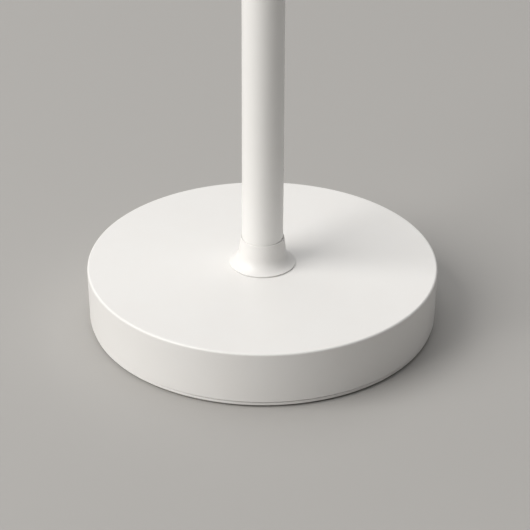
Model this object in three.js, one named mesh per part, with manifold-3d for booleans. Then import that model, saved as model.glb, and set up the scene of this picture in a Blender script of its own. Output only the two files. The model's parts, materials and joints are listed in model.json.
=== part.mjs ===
// Customer pole display: a two-line display head that tilts and swivels on a slim round pole,
// which stands in a flared collar on a round weighted base. Sockets and a power button sit in a
// recess at the back of the base, and one lead runs from there up through the pole to the head.
// Units are millimetres. +Z is up, the display faces -Y, and the origin is the middle of the
// underside, where the rubber feet meet the table.

import * as THREE from "three";
import { mergeVertices } from "three/addons/utils/BufferGeometryUtils.js";
import Module from "manifold-3d";

// ---- Clearances ----
const SEAT_GAP = 0.3; // between faces that rest on each other
const FIT_GAP = 0.2; // radial, where one piece fits inside another
const SEAM = 0.5; // shadow line between two casing pieces
const RUN_GAP = 2.5; // round the tilting knuckle, inside the head's recess

// ---- Facets ----
const LARGE = 48; // sides of the base's circles
const MEDIUM = 24; // sides of the pole's circles
const SMALL = 16; // sides of washers, bosses and buttons
const TINY = 8; // sides of screws

// ---- Base ----
const BASE_RADIUS = 95;
const BASE_HEIGHT = 32.6; // table to top face
const BASE_DRAFT = 0.5; // how much the side leans in at its foot
const BASE_EDGE = 1.6; // rounding of the top edge
const SHELL_WALL = 2.6;
const SHELL_ROOF = 3;
const SHELL_HUB_RADIUS = 21; // thickened middle, where the pole is bolted
const SHELL_HUB_DEPTH = 4;
const PLATE_THICKNESS = 2.2;
const PLATE_INSET = 0.6; // plate's rim behind the shell's foot
const PLATE_EDGE = 1.2; // rounding of the plate's lower edge
const PLATE_LIP_WIDTH = 2;
const PLATE_LIP_HEIGHT = 2.4;
const FOOT_RADIUS = 7;
const FOOT_PROUD = 0.8; // how far a foot stands below the plate
const FOOT_POCKET = 0.9;
const FOOT_COUNT = 4;
const FOOT_FROM_EDGE = 20;
const FOOT_ANGLE = 45; // first foot, in degrees from +X
const BASE_BOSS_RADIUS = 4;
const BASE_BOSS_FROM_LIP = 1;
const BASE_SCREW_COUNT = 3;
const BASE_SCREW_LENGTH = 10;
const BASE_SCREW_ANGLE = 30; // first screw, in degrees from +X
const BALLAST_HEIGHT = 13;
const BALLAST_BORE_RADIUS = 25;
const BALLAST_FROM_BOSS = 3;
const BALLAST_BAY_FROM_BORE = 5; // how far inside the bore's edge its cut-away begins

// ---- Small screws, one pattern for the whole object ----
const SCREW_RADIUS = 1.4;
const SCREW_HEAD_RADIUS = 2.6;
const SCREW_HEAD_HEIGHT = 1.4;
const SCREW_CROSS_WIDTH = 0.9;
const SCREW_CROSS_LENGTH = 3;
const SCREW_CROSS_DEPTH = 0.7;
const HEAD_BELOW_SEAT = 0.1; // how deep a head sits in its countersink
const UPRIGHT = [0, 0, 0]; // Euler angles in degrees that point a screw's head: up,
const UPSIDE_DOWN = [180, 0, 0]; // down,
const FACING_FRONT = [90, 0, 0]; // towards -Y
const FACING_BACK = [-90, 0, 0]; // and towards +Y

// ---- Sockets, power button and their board ----
const PANEL_HALF_WIDTH = 29;
const PANEL_THICKNESS = 2;
const PANEL_BEHIND_SHELL = 1.4; // at the panel's ends, where the round side comes nearest
const PANEL_RAIL = 1.5; // how far the panel's edge sits in its groove
const PANEL_FRAME = 4;
const PORT_MARGIN = 0.8; // recess edge above and below the sockets
const BOARD_THICKNESS = 1.6;
const BOARD_DEPTH = 42;
const BOARD_BAY = 14; // room for the lead in front of the board
const BOARD_SCREW_FROM_SIDE = 5;
const BOARD_SCREW_FROM_FRONT = 8;
const BOARD_SCREW_LENGTH = 6;
const BOARD_PILLAR_RADIUS = 3;
const ROOF_CLEARANCE = 1.2; // sockets to the roof of the shell
const SERIAL_WIDTH = 16;
const SERIAL_HEIGHT = 12;
const SERIAL_DEPTH = 16;
const SERIAL_MOUTH_WIDTH = 11.9;
const SERIAL_MOUTH_HEIGHT = 7.4;
const SERIAL_MOUTH_DEPTH = 13;
const SERIAL_KEY_WIDTH = 6.2; // step under the mouth, for the plug's latch
const SERIAL_KEY_HEIGHT = 1.6;
const SERIAL_X = -17;
const POWER_JACK_WIDTH = 9.4;
const POWER_JACK_HEIGHT = 11;
const POWER_JACK_DEPTH = 14;
const POWER_BORE_RADIUS = 3.1;
const POWER_BORE_DEPTH = 9.5;
const POWER_PIN_RADIUS = 1;
const POWER_PIN_BELOW_FACE = 0.6;
const POWER_JACK_X = 2;
const BUTTON_RADIUS = 4;
const BUTTON_PROUD = 2.4; // cap beyond the panel's face
const BUTTON_TRAVEL = 1.5;
const BUTTON_CROWN = 0.5; // step round the cap's face
const BUTTON_BEHIND_PANEL = 1; // cap behind the panel's back face
const BUTTON_STEM_RADIUS = 1.6;
const SWITCH_WIDTH = 8.4;
const SWITCH_HEIGHT = 8.4;
const SWITCH_DEPTH = 8;
const SWITCH_WALL = 1;
const BUTTON_X = 19;

// ---- Collar and pole ----
const POLE_RADIUS = 11.1;
const POLE_WALL = 1.5;
const POLE_LENGTH = 299.8;
const COLLAR_HEIGHT = 15.7;
const COLLAR_FOOT_RADIUS = 18.4;
const COLLAR_FOOT_EDGE = 1; // upright rim at the collar's foot
const COLLAR_LIP = 0.45; // wall at the collar's mouth
const COLLAR_FLARE_START = 8.6; // height above the base where the flare begins
const COLLAR_FLARE_SWELL = 0.9; // how much wider the collar is there than at its mouth
const COLLAR_WEB = 2;
const SPIGOT_THREAD_RADIUS = 7.8;
const SPIGOT_BORE_RADIUS = 4;
const SPIGOT_FLANGE = 2.7;
const SPIGOT_PLUG_LENGTH = 16;
const SPIGOT_TAIL = 1.4; // thread beyond the nut
const NUT_FLATS = 22;
const NUT_HEIGHT = 5;
const LOCK_WASHER_RADIUS = 13;
const LOCK_WASHER_THICKNESS = 1.4;
const GRUB_RADIUS = 2;
const GRUB_LENGTH = 4.6;
const GRUB_BELOW_SURFACE = 0.2;
const GRUB_SOCKET_DEPTH = 1.8;
const NECK_GRUB_RADIUS = 1.6;
const GRUB_HEIGHT = 3.4; // grub screw's middle above the pole's lower end

// ---- Swivel at the top of the pole ----
const POST_PLUG_LENGTH = 20;
const POST_FLANGE = 1.2;
const POST_RADIUS = 5.6;
const POST_BORE_RADIUS = 3.5;
const THRUST_WASHER = 0.8;
const REVEAL_DEPTH = 0.5; // shadow line round the swivel, below the pole's surface
const BUSH_WALL = 1.5;
const BUSH_LENGTH = 9.4;
const SLEEVE_WALL = 1.7;
const WAVE_WASHER_RADIUS = 7.4;
const WAVE_WASHER_THICKNESS = 1;
const STOP_WASHER_THICKNESS = 1.5;
const STOP_TAB_HALF_WIDTH = 1.5;
const STOP_LUG_INNER_RADIUS = 7.9;
const SWIVEL_LIMIT = 160; // degrees each way
const RING_NUT_RADIUS = 8.6;
const RING_NUT_HEIGHT = 4;
const POST_TAIL = 0.5;
const KNUCKLE_PLUG_LENGTH = 5;

// ---- Tilt hinge ----
const KNUCKLE_RISE = 20; // sleeve top to tilt axis
const LUG_CLEARANCE_ANGLE = 1; // degrees between the stop's tab and lug at the limit
const BARREL_RADIUS = 12;
const BARREL_HALF_WIDTH = 15;
const BARREL_WALL = 3.5;
const LEAD_SLOT_HALF_WIDTH = 3.2;
const LEAD_SLOT_BELOW_AXIS = 3;
const TILT_BOLT_RADIUS = 3;
const TILT_BOLT_HEAD_RADIUS = 5.4;
const TILT_BOLT_HEAD = 3.6;
const TILT_NUT_HEIGHT = 4.6;
const FRICTION_WASHER_RADIUS = 9;
const FRICTION_WASHER_THICKNESS = 1;
const LUG_THICKNESS = 4;
const DISC_SPRING_RADIUS = 6.4;
const DISC_SPRING_THICKNESS = 1.2;

// ---- Display head ----
const HEAD_WIDTH = 206;
const HEAD_HEIGHT = 72;
const HEAD_DEPTH = 23.5;
const HEAD_CORNER = 9;
const HEAD_EDGE = 2.4; // rounding of the front and back edges
const HEAD_BELOW_AXIS = 14;
const HEAD_WALL = 2.2;
const BEZEL_FACE = 3.2; // thickness round the window
const BEZEL_DEPTH = 11.8; // front face to the joint with the rear cover
const HINGE_BOX_HALF_WIDTH = 44;
const HINGE_BOX_ABOVE_AXIS = 34;
const HINGE_BOX_BELOW_AXIS = 13;
const HINGE_BOX_BEHIND_AXIS = 13.5;
const HINGE_BOX_CORNER = 6;
const CASE_SCREW_FROM_END = 9;
const CASE_SCREW_FROM_EDGE = 7;
const CASE_BOSS_RADIUS = 3.3;
const CASE_SCREW_LENGTH = 17;
const CASE_SCREW_SINK = 1; // screw heads below the cover's face
const WINDOW_WIDTH = 172;
const WINDOW_HEIGHT = 46;
const WINDOW_THICKNESS = 2;
const WINDOW_CORNER = 3;
const WINDOW_LEDGE = 2.2;
const WINDOW_BELOW_FACE = 0.2;
const GASKET_THICKNESS = 0.9;
const GASKET_WIDTH = 3.5;
const GLASS_THICKNESS = 3;
const GLASS_MARGIN = 2; // display glass smaller than the window, each side
const TRAY_WALL = 1.2;
const TRAY_DEPTH = 4.2;
const MODULE_BOARD_OVERHANG = 9; // module board beyond the window, each side
const MODULE_SCREW_FROM_END = 4;
const MODULE_SCREW_LENGTH = 6;
const CONTROLLER_WIDTH = 96;
const CONTROLLER_HEIGHT = 34;
const CONTROLLER_BEHIND_MODULE = 4.6;
const CONTROLLER_ABOVE_AXIS = 17;
const CONTROLLER_PILLAR_RADIUS = 2.8;
const CONTROLLER_SCREW_FROM_CORNER = 5;
const RIBBON_WIDTH = 22;
const RIBBON_THICKNESS = 0.4;
const RIBBON_FLAT = 8; // flat end that lies on a board
const RIBBON_BOW = 3; // flat end to where the fold begins
const RIBBON_FROM_EDGE = 6; // above the controller board's lower edge
const LEAD_RADIUS = 2;
const LEAD_HOLE_ABOVE_AXIS = 3;
const LEAD_HOLE_CLEARANCE = 1.5;
const LEAD_PLUG_WIDTH = 12;
const LEAD_PLUG_HEIGHT = 5;
const LEAD_PLUG_DEPTH = 4;

// ---- Heights and places that follow from the sizes above ----
const plateBottom = FOOT_PROUD;
const plateTop = plateBottom + PLATE_THICKNESS;
const shellFoot = plateTop + SEAM;
const roof = BASE_HEIGHT - SHELL_ROOF;
const shellFootRadius = BASE_RADIUS - BASE_DRAFT;
const shellInnerRadius = shellFootRadius - SHELL_WALL;
const plateRadius = shellFootRadius - PLATE_INSET;
const lipOuterRadius = shellInnerRadius - FIT_GAP;
const lipInnerRadius = lipOuterRadius - PLATE_LIP_WIDTH;
const baseScrewCircle = lipInnerRadius - BASE_BOSS_RADIUS - BASE_BOSS_FROM_LIP;
const ballastRadius = baseScrewCircle - BASE_BOSS_RADIUS - BALLAST_FROM_BOSS;
const ballastBottom = plateTop + SEAT_GAP;

const panelFace =
  Math.sqrt(shellFootRadius ** 2 - PANEL_HALF_WIDTH ** 2) - PANEL_BEHIND_SHELL;
const panelBack = panelFace - PANEL_THICKNESS;
const tallestSocket = Math.max(SERIAL_HEIGHT, POWER_JACK_HEIGHT, SWITCH_HEIGHT);
const socketTop = roof - ROOF_CLEARANCE;
const boardTop = socketTop - tallestSocket - SEAT_GAP;
const boardBottom = boardTop - BOARD_THICKNESS;
const socketBottom = boardTop + SEAT_GAP;
const boardRear = panelBack - SEAT_GAP;
const boardFront = boardRear - BOARD_DEPTH;
const boardHalfWidth = PANEL_HALF_WIDTH - PANEL_RAIL - FIT_GAP;
const portLow = socketBottom - PORT_MARGIN;
const portHigh = socketTop + PORT_MARGIN;
const portHalfWidth = PANEL_HALF_WIDTH - PANEL_RAIL;
const bayHalfWidth = PANEL_HALF_WIDTH + PANEL_FRAME;
const bayFront = boardFront - BOARD_BAY;
const socketRow = socketBottom + tallestSocket / 2;

const collarFoot = BASE_HEIGHT + SEAT_GAP;
const collarTop = BASE_HEIGHT + COLLAR_HEIGHT;
const collarBoreRadius = POLE_RADIUS + FIT_GAP;
const flangeBottom = collarFoot + COLLAR_WEB + SEAT_GAP;
const flangeTop = flangeBottom + SPIGOT_FLANGE;
const poleBottom = flangeTop + SEAT_GAP;
const poleTop = poleBottom + POLE_LENGTH;
const poleBoreRadius = POLE_RADIUS - POLE_WALL;
const hubBottom = roof - SHELL_HUB_DEPTH;
const lockWasherTop = hubBottom - SEAT_GAP;
const lockWasherBottom = lockWasherTop - LOCK_WASHER_THICKNESS;
const nutTop = lockWasherBottom - SEAT_GAP;
const nutBottom = nutTop - NUT_HEIGHT;
const spigotBottom = nutBottom - SPIGOT_TAIL;

const postFlangeBottom = poleTop + SEAT_GAP;
const postFlangeTop = postFlangeBottom + POST_FLANGE;
const thrustBottom = postFlangeTop + SEAT_GAP;
const thrustTop = thrustBottom + THRUST_WASHER;
const sleeveBottom = thrustTop + SEAT_GAP;
const bushRadius = POST_RADIUS + FIT_GAP + BUSH_WALL;
const sleeveFloor = sleeveBottom + BUSH_LENGTH + SEAT_GAP;
const sleeveCavityRadius = POLE_RADIUS - SLEEVE_WALL;
const waveBottom = sleeveFloor + SEAT_GAP;
const waveTop = waveBottom + WAVE_WASHER_THICKNESS;
const stopBottom = waveTop + SEAT_GAP;
const stopTop = stopBottom + STOP_WASHER_THICKNESS;
const ringNutBottom = stopTop + 2 * SEAT_GAP;
const ringNutTop = ringNutBottom + RING_NUT_HEIGHT;
const postTop = ringNutTop + POST_TAIL;
const knucklePlugBottom = postTop + SEAT_GAP;
const sleeveTop = knucklePlugBottom + KNUCKLE_PLUG_LENGTH;
const knuckleBottom = sleeveTop + SEAT_GAP;
const axisHeight = sleeveTop + KNUCKLE_RISE;

const frictionWasherStart = BARREL_HALF_WIDTH + SEAT_GAP;
const lugStart = frictionWasherStart + FRICTION_WASHER_THICKNESS + SEAT_GAP;
const lugEnd = lugStart + LUG_THICKNESS;
const recessRadius = BARREL_RADIUS + RUN_GAP;
const headBack = -recessRadius;
const headFront = headBack - HEAD_DEPTH;
const headJoint = headFront + BEZEL_DEPTH;
const headMiddle = axisHeight - HEAD_BELOW_AXIS + HEAD_HEIGHT / 2;
const headInnerBack = headBack - HEAD_WALL;
const windowFront = headFront + WINDOW_BELOW_FACE;
const windowBack = windowFront + WINDOW_THICKNESS;
const bezelBack = headFront + BEZEL_FACE;
const gasketFront = bezelBack + SEAT_GAP;
const gasketBack = gasketFront + GASKET_THICKNESS;
const glassFront = gasketBack + SEAT_GAP;
const glassBack = glassFront + GLASS_THICKNESS;
const trayBack = glassFront + TRAY_DEPTH;
const moduleFront = trayBack + SEAT_GAP;
const moduleBack = moduleFront + BOARD_THICKNESS;
const controllerFront = moduleBack + CONTROLLER_BEHIND_MODULE;
const controllerBack = controllerFront + BOARD_THICKNESS;
const controllerLow = axisHeight + CONTROLLER_ABOVE_AXIS;
const controllerHigh = controllerLow + CONTROLLER_HEIGHT;
const glassHalfWidth = WINDOW_WIDTH / 2 - GLASS_MARGIN;
const glassHalfHeight = WINDOW_HEIGHT / 2 - GLASS_MARGIN;
const moduleHalfWidth = WINDOW_WIDTH / 2 + MODULE_BOARD_OVERHANG;
const moduleHalfHeight = WINDOW_HEIGHT / 2;
const leadHoleHeight = axisHeight + LEAD_HOLE_ABOVE_AXIS;

// ---- Materials ----
const whiteShell = new THREE.MeshStandardMaterial({ color: 0xf3f1ec, roughness: 0.42 });
const whitePaint = new THREE.MeshStandardMaterial({ color: 0xf2f0eb, roughness: 0.36, metalness: 0.1 });
const greyPlastic = new THREE.MeshStandardMaterial({ color: 0x3b3d40, roughness: 0.55 });
const acetal = new THREE.MeshStandardMaterial({ color: 0xd9d7d0, roughness: 0.4 });
const rubber = new THREE.MeshStandardMaterial({ color: 0x242424, roughness: 0.85 });
const steel = new THREE.MeshStandardMaterial({ color: 0xb4b6b8, roughness: 0.35, metalness: 1 });
const castIron = new THREE.MeshStandardMaterial({ color: 0x4b4b4d, roughness: 0.75, metalness: 0.7 });
const circuitBoard = new THREE.MeshStandardMaterial({ color: 0x1f5a3a, roughness: 0.5 });
const smokedWindow = new THREE.MeshStandardMaterial({ color: 0x15191b, roughness: 0.08 });
const displayGlass = new THREE.MeshStandardMaterial({ color: 0x0c1413, roughness: 0.12 });
const foam = new THREE.MeshStandardMaterial({ color: 0x1c1c1c, roughness: 0.95 });
const cableSheath = new THREE.MeshStandardMaterial({ color: 0x5a5c5e, roughness: 0.6 });

// ---- Solids ----
const wasm = await Module();
wasm.setup();

/** A closed three.js geometry as a solid with its faces pointing out. */
function solid(geometry) {
  const bare = geometry.index ? geometry.toNonIndexed() : geometry.clone();
  bare.deleteAttribute("normal");
  bare.deleteAttribute("uv");
  const merged = mergeVertices(bare, 1e-4);
  const position = merged.getAttribute("position");
  const corner = [new THREE.Vector3(), new THREE.Vector3(), new THREE.Vector3()];
  const triangles = [];
  let volume = 0;
  for (let i = 0; i < merged.index.count; i += 3) {
    const ids = [0, 1, 2].map((k) => merged.index.getX(i + k));
    if (new Set(ids).size < 3) continue;
    ids.forEach((id, k) => corner[k].fromBufferAttribute(position, id));
    volume += corner[0].dot(corner[1].clone().cross(corner[2]));
    triangles.push(ids);
  }
  if (volume < 0) triangles.forEach((ids) => ids.reverse());
  return new wasm.Manifold(
    new wasm.Mesh({
      numProp: 3,
      vertProperties: position.array,
      triVerts: new Uint32Array(triangles.flat()),
    }),
  );
}

/** A box between two corners. */
function block(x0, x1, y0, y1, z0, z1) {
  const geometry = new THREE.BoxGeometry(x1 - x0, y1 - y0, z1 - z0);
  return solid(geometry.translate((x0 + x1) / 2, (y0 + y1) / 2, (z0 + z1) / 2));
}

/** An upright cylinder. */
function rod(radius, z0, z1, sides = MEDIUM, x = 0, y = 0) {
  const geometry = new THREE.CylinderGeometry(radius, radius, z1 - z0, sides).rotateX(Math.PI / 2);
  return solid(geometry.translate(x, y, (z0 + z1) / 2));
}

/** An upright tube. */
function tube(outer, inner, z0, z1, sides = MEDIUM, x = 0, y = 0) {
  return rod(outer, z0, z1, sides, x, y).subtract(rod(inner, z0 - 1, z1 + 1, sides, x, y));
}

/** A cylinder along X. */
function rodX(radius, x0, x1, y, z, sides = MEDIUM) {
  const geometry = new THREE.CylinderGeometry(radius, radius, x1 - x0, sides).rotateZ(Math.PI / 2);
  return solid(geometry.translate((x0 + x1) / 2, y, z));
}

/** A cylinder along Y. */
function rodY(radius, y0, y1, x, z, sides = SMALL) {
  const geometry = new THREE.CylinderGeometry(radius, radius, y1 - y0, sides);
  return solid(geometry.translate(x, (y0 + y1) / 2, z));
}

/** A profile of [radius, height] points turned about Z. */
function turned(profile, sides = MEDIUM) {
  const points = profile.map(([r, z]) => new THREE.Vector2(r, z));
  points.push(points[0].clone());
  return solid(new THREE.LatheGeometry(points, sides).rotateX(Math.PI / 2));
}

/** Points of a quarter-round from one [radius, height] point to another, about a centre. */
function roundEdge(centreR, centreZ, radius, fromDegrees, toDegrees, steps = 4) {
  return Array.from({ length: steps + 1 }, (_, i) => {
    const angle = THREE.MathUtils.degToRad(fromDegrees + ((toDegrees - fromDegrees) * i) / steps);
    return [centreR + radius * Math.cos(angle), centreZ + radius * Math.sin(angle)];
  });
}

/** A rectangle with round corners, about the origin. */
function roundedRectangle(width, height, radius) {
  const [x, y] = [width / 2, height / 2];
  const shape = new THREE.Shape();
  shape.absarc(x - radius, y - radius, radius, 0, Math.PI / 2);
  shape.absarc(-x + radius, y - radius, radius, Math.PI / 2, Math.PI);
  shape.absarc(-x + radius, -y + radius, radius, Math.PI, 1.5 * Math.PI);
  shape.absarc(x - radius, -y + radius, radius, 1.5 * Math.PI, 2 * Math.PI);
  return shape;
}

/** A slab facing -Y with round corners, and with round front and back edges if edge is over 0. */
function slabY(width, height, corner, y0, y1, z, edge = 0) {
  const shape = roundedRectangle(width - 2 * edge, height - 2 * edge, corner - edge);
  const geometry = new THREE.ExtrudeGeometry(shape, {
    depth: y1 - y0 - 2 * edge,
    bevelEnabled: edge > 0,
    bevelThickness: edge,
    bevelSize: edge,
    bevelSegments: 3,
    curveSegments: 5,
  });
  return solid(geometry.rotateX(Math.PI / 2).translate(0, y1 - edge, z));
}

/** A sector of a ring about Z, between two angles in degrees. */
function sector(inner, outer, fromDegrees, toDegrees, z0, z1) {
  const [a, b] = [fromDegrees, toDegrees].map(THREE.MathUtils.degToRad);
  const shape = new THREE.Shape();
  shape.absarc(0, 0, outer, a, b, false);
  shape.absarc(0, 0, inner, b, a, true);
  const settings = { depth: z1 - z0, bevelEnabled: false, curveSegments: 6 };
  return solid(new THREE.ExtrudeGeometry(shape, settings).translate(0, 0, z0));
}

/** A hexagonal prism along Z, between opposite flats of the width given. */
function hexagon(flats, z0, z1) {
  const geometry = new THREE.CylinderGeometry(flats / Math.sqrt(3), flats / Math.sqrt(3), z1 - z0, 6);
  return solid(geometry.rotateX(Math.PI / 2).translate(0, 0, (z0 + z1) / 2));
}

/** The same solid turned by Euler angles in degrees and then moved. */
function placed(shape, [rx, ry, rz], [x, y, z]) {
  return shape.rotate([rx, ry, rz]).translate([x, y, z]);
}

/** A round lead along a smooth curve through points. */
function lead(points, steps) {
  const section = new THREE.Shape();
  section.absarc(0, 0, LEAD_RADIUS, 0, 2 * Math.PI);
  const path = new THREE.CatmullRomCurve3(points.map((p) => new THREE.Vector3(...p)), false, "centripetal");
  const geometry = new THREE.ExtrudeGeometry(section, { steps, extrudePath: path, curveSegments: 4 });
  return solid(geometry);
}

/** Copies of a shape turned round Z, at equal angles from the first one given in degrees. */
function roundZ(count, firstDegrees, make) {
  return Array.from({ length: count }, (_, i) => make().rotate([0, 0, firstDegrees + (360 * i) / count]));
}

/** All of a list of solids as one. */
function joined(shapes) {
  return shapes.reduce((all, shape) => all.add(shape));
}

const display = new THREE.Group();

/** Adds one named piece to the display. */
function piece(name, shape, material) {
  const made = shape.getMesh();
  const positions = new Float32Array(made.numVert * 3);
  for (let i = 0; i < made.numVert; i++)
    for (let k = 0; k < 3; k++) positions[3 * i + k] = made.vertProperties[made.numProp * i + k];
  const geometry = new THREE.BufferGeometry();
  geometry.setAttribute("position", new THREE.BufferAttribute(positions, 3));
  geometry.setIndex(new THREE.BufferAttribute(made.triVerts, 1));
  geometry.computeVertexNormals();
  const mesh = new THREE.Mesh(geometry, material);
  mesh.name = name;
  display.add(mesh);
}

/** A cross-slot screw along +Z: its head's top is at 0 and its shank reaches down to -length. */
function screw(length) {
  const cross = block(
    -SCREW_CROSS_LENGTH / 2,
    SCREW_CROSS_LENGTH / 2,
    -SCREW_CROSS_WIDTH / 2,
    SCREW_CROSS_WIDTH / 2,
    -SCREW_CROSS_DEPTH,
    1,
  );
  return rod(SCREW_HEAD_RADIUS, -SCREW_HEAD_HEIGHT, 0, TINY)
    .add(rod(SCREW_RADIUS, -length, -SCREW_HEAD_HEIGHT / 2, TINY))
    .subtract(cross)
    .subtract(cross.rotate([0, 0, 90]));
}

/** The hole that a screw sits in: a seat for its head, and a clear way for its shank. */
function screwHole(length) {
  return rod(SCREW_HEAD_RADIUS + FIT_GAP, -SCREW_HEAD_HEIGHT - FIT_GAP, 20, TINY)
    .add(rod(SCREW_RADIUS + FIT_GAP, -length - 1, 0, TINY));
}

// ---- Base ----
function buildBaseShell() {
  const inner = BASE_RADIUS - SHELL_WALL;
  const outside = [
    [0, BASE_HEIGHT],
    [0, roof],
    [inner, roof],
    [shellInnerRadius, shellFoot],
    [shellFootRadius, shellFoot],
    ...roundEdge(BASE_RADIUS - BASE_EDGE, BASE_HEIGHT - BASE_EDGE, BASE_EDGE, 0, 90),
  ];
  const bossTop = roof + SHELL_ROOF / 2;
  const bosses = roundZ(BASE_SCREW_COUNT, BASE_SCREW_ANGLE, () =>
    tube(BASE_BOSS_RADIUS, SCREW_RADIUS + FIT_GAP, shellFoot, bossTop, SMALL, baseScrewCircle),
  );
  const pilots = roundZ(BASE_SCREW_COUNT, BASE_SCREW_ANGLE, () =>
    rod(SCREW_RADIUS + FIT_GAP, shellFoot - 1, roof, TINY, baseScrewCircle),
  );
  const frame = block(-bayHalfWidth, bayHalfWidth, panelBack - 2, BASE_RADIUS, shellFoot, bossTop)
    .intersect(rod(shellInnerRadius + SHELL_WALL / 2, 0, BASE_HEIGHT, LARGE));
  const inside = block(-portHalfWidth, portHalfWidth, 0, panelFace - PANEL_THICKNESS / 2, 0, roof);
  const groove = block(
    -PANEL_HALF_WIDTH - FIT_GAP,
    PANEL_HALF_WIDTH + FIT_GAP,
    panelBack - FIT_GAP,
    panelFace + FIT_GAP,
    0,
    portHigh + PANEL_RAIL + FIT_GAP,
  );
  const mouth = block(-portHalfWidth, portHalfWidth, panelBack, BASE_RADIUS + 1, portLow, portHigh);
  const hub = rod(SHELL_HUB_RADIUS, hubBottom, bossTop, MEDIUM);
  const shell = joined([turned(outside, LARGE), ...bosses])
    .subtract(joined(pilots))
    .add(frame.subtract(inside))
    .subtract(groove)
    .subtract(mouth)
    .add(hub)
    .subtract(rod(SPIGOT_THREAD_RADIUS + FIT_GAP, 0, BASE_HEIGHT + 1));
  piece("base_shell", shell, whiteShell);
}

function buildBottomPlate() {
  const disc = turned(
    [
      [0, plateTop],
      [0, plateBottom],
      ...roundEdge(plateRadius - PLATE_EDGE, plateBottom + PLATE_EDGE, PLATE_EDGE, -90, 0),
      [plateRadius, plateTop],
    ],
    LARGE,
  );
  const bay = block(-bayHalfWidth - 1, bayHalfWidth + 1, 0, BASE_RADIUS, plateTop, roof);
  const lip = tube(lipOuterRadius, lipInnerRadius, plateTop - 1, plateTop + PLATE_LIP_HEIGHT, LARGE);
  const pillars = joined(boardScrewPlaces().map(([x, y]) =>
    rod(BOARD_PILLAR_RADIUS, plateTop - 1, boardBottom - SEAT_GAP, SMALL, x, y),
  ));
  const pillarHoles = joined(boardScrewPlaces().map(([x, y]) =>
    rod(SCREW_RADIUS + FIT_GAP, plateTop, boardTop, TINY, x, y),
  ));
  const pockets = roundZ(FOOT_COUNT, FOOT_ANGLE, () =>
    rod(FOOT_RADIUS + FIT_GAP, -1, plateBottom + FOOT_POCKET, SMALL, BASE_RADIUS - FOOT_FROM_EDGE),
  );
  const baseHoles = roundZ(BASE_SCREW_COUNT, BASE_SCREW_ANGLE, () =>
    placed(screwHole(BASE_SCREW_LENGTH), UPSIDE_DOWN, [baseScrewCircle, 0, plateBottom]),
  );
  const plate = disc
    .add(lip.subtract(bay))
    .add(pillars)
    .subtract(pillarHoles)
    .subtract(joined([...pockets, ...baseHoles]));
  piece("bottom_plate", plate, whitePaint);
}

/** Middles of the screws that hold the socket board on the plate's pillars. */
function boardScrewPlaces() {
  const fromMiddle = boardHalfWidth - BOARD_SCREW_FROM_SIDE;
  return [-1, 1].map((side) => [side * fromMiddle, boardFront + BOARD_SCREW_FROM_FRONT]);
}

function buildBaseFixings() {
  roundZ(FOOT_COUNT, FOOT_ANGLE, () =>
    rod(FOOT_RADIUS, 0, plateBottom + FOOT_POCKET - SEAT_GAP, SMALL, BASE_RADIUS - FOOT_FROM_EDGE),
  ).forEach((foot, i) => piece("foot_pad_" + (i + 1), foot, rubber));
  roundZ(BASE_SCREW_COUNT, BASE_SCREW_ANGLE, () =>
    placed(screw(BASE_SCREW_LENGTH), UPSIDE_DOWN, [baseScrewCircle, 0, plateBottom + HEAD_BELOW_SEAT]),
  ).forEach((made, i) => piece("base_screw_" + (i + 1), made, steel));
}

function buildBallast() {
  const bay = block(
    -bayHalfWidth - 1,
    bayHalfWidth + 1,
    Math.min(bayFront, BALLAST_BORE_RADIUS - BALLAST_BAY_FROM_BORE),
    BASE_RADIUS,
    0,
    BASE_HEIGHT,
  );
  const weight = tube(
    ballastRadius,
    BALLAST_BORE_RADIUS,
    ballastBottom,
    ballastBottom + BALLAST_HEIGHT,
    LARGE,
  );
  piece("ballast_weight", weight.subtract(bay), castIron);
}

// ---- Sockets ----
function buildSocketBoard() {
  const board = block(-boardHalfWidth, boardHalfWidth, boardFront, boardRear, boardBottom, boardTop);
  const holes = boardScrewPlaces().map(([x, y]) => rod(SCREW_RADIUS + FIT_GAP, 0, roof, TINY, x, y));
  piece("socket_board", board.subtract(joined(holes)), circuitBoard);
  boardScrewPlaces().forEach(([x, y], i) => {
    const made = placed(screw(BOARD_SCREW_LENGTH), UPRIGHT, [x, y, boardTop + SCREW_HEAD_HEIGHT + SEAT_GAP]);
    piece("board_screw_" + (i + 1), made, steel);
  });
}

function buildPortPanel() {
  const panel = block(
    -PANEL_HALF_WIDTH,
    PANEL_HALF_WIDTH,
    panelBack,
    panelFace,
    shellFoot,
    portHigh + PANEL_RAIL,
  );
  const serialHole = block(
    SERIAL_X - SERIAL_WIDTH / 2 - FIT_GAP,
    SERIAL_X + SERIAL_WIDTH / 2 + FIT_GAP,
    0,
    BASE_RADIUS,
    socketBottom - FIT_GAP,
    socketBottom + SERIAL_HEIGHT + FIT_GAP,
  );
  const powerHole = block(
    POWER_JACK_X - POWER_JACK_WIDTH / 2 - FIT_GAP,
    POWER_JACK_X + POWER_JACK_WIDTH / 2 + FIT_GAP,
    0,
    BASE_RADIUS,
    socketBottom - FIT_GAP,
    socketBottom + POWER_JACK_HEIGHT + FIT_GAP,
  );
  const buttonHole = rodY(BUTTON_RADIUS + FIT_GAP, 0, BASE_RADIUS, BUTTON_X, socketRow);
  piece("port_panel", panel.subtract(serialHole).subtract(powerHole).subtract(buttonHole), greyPlastic);
}

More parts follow.
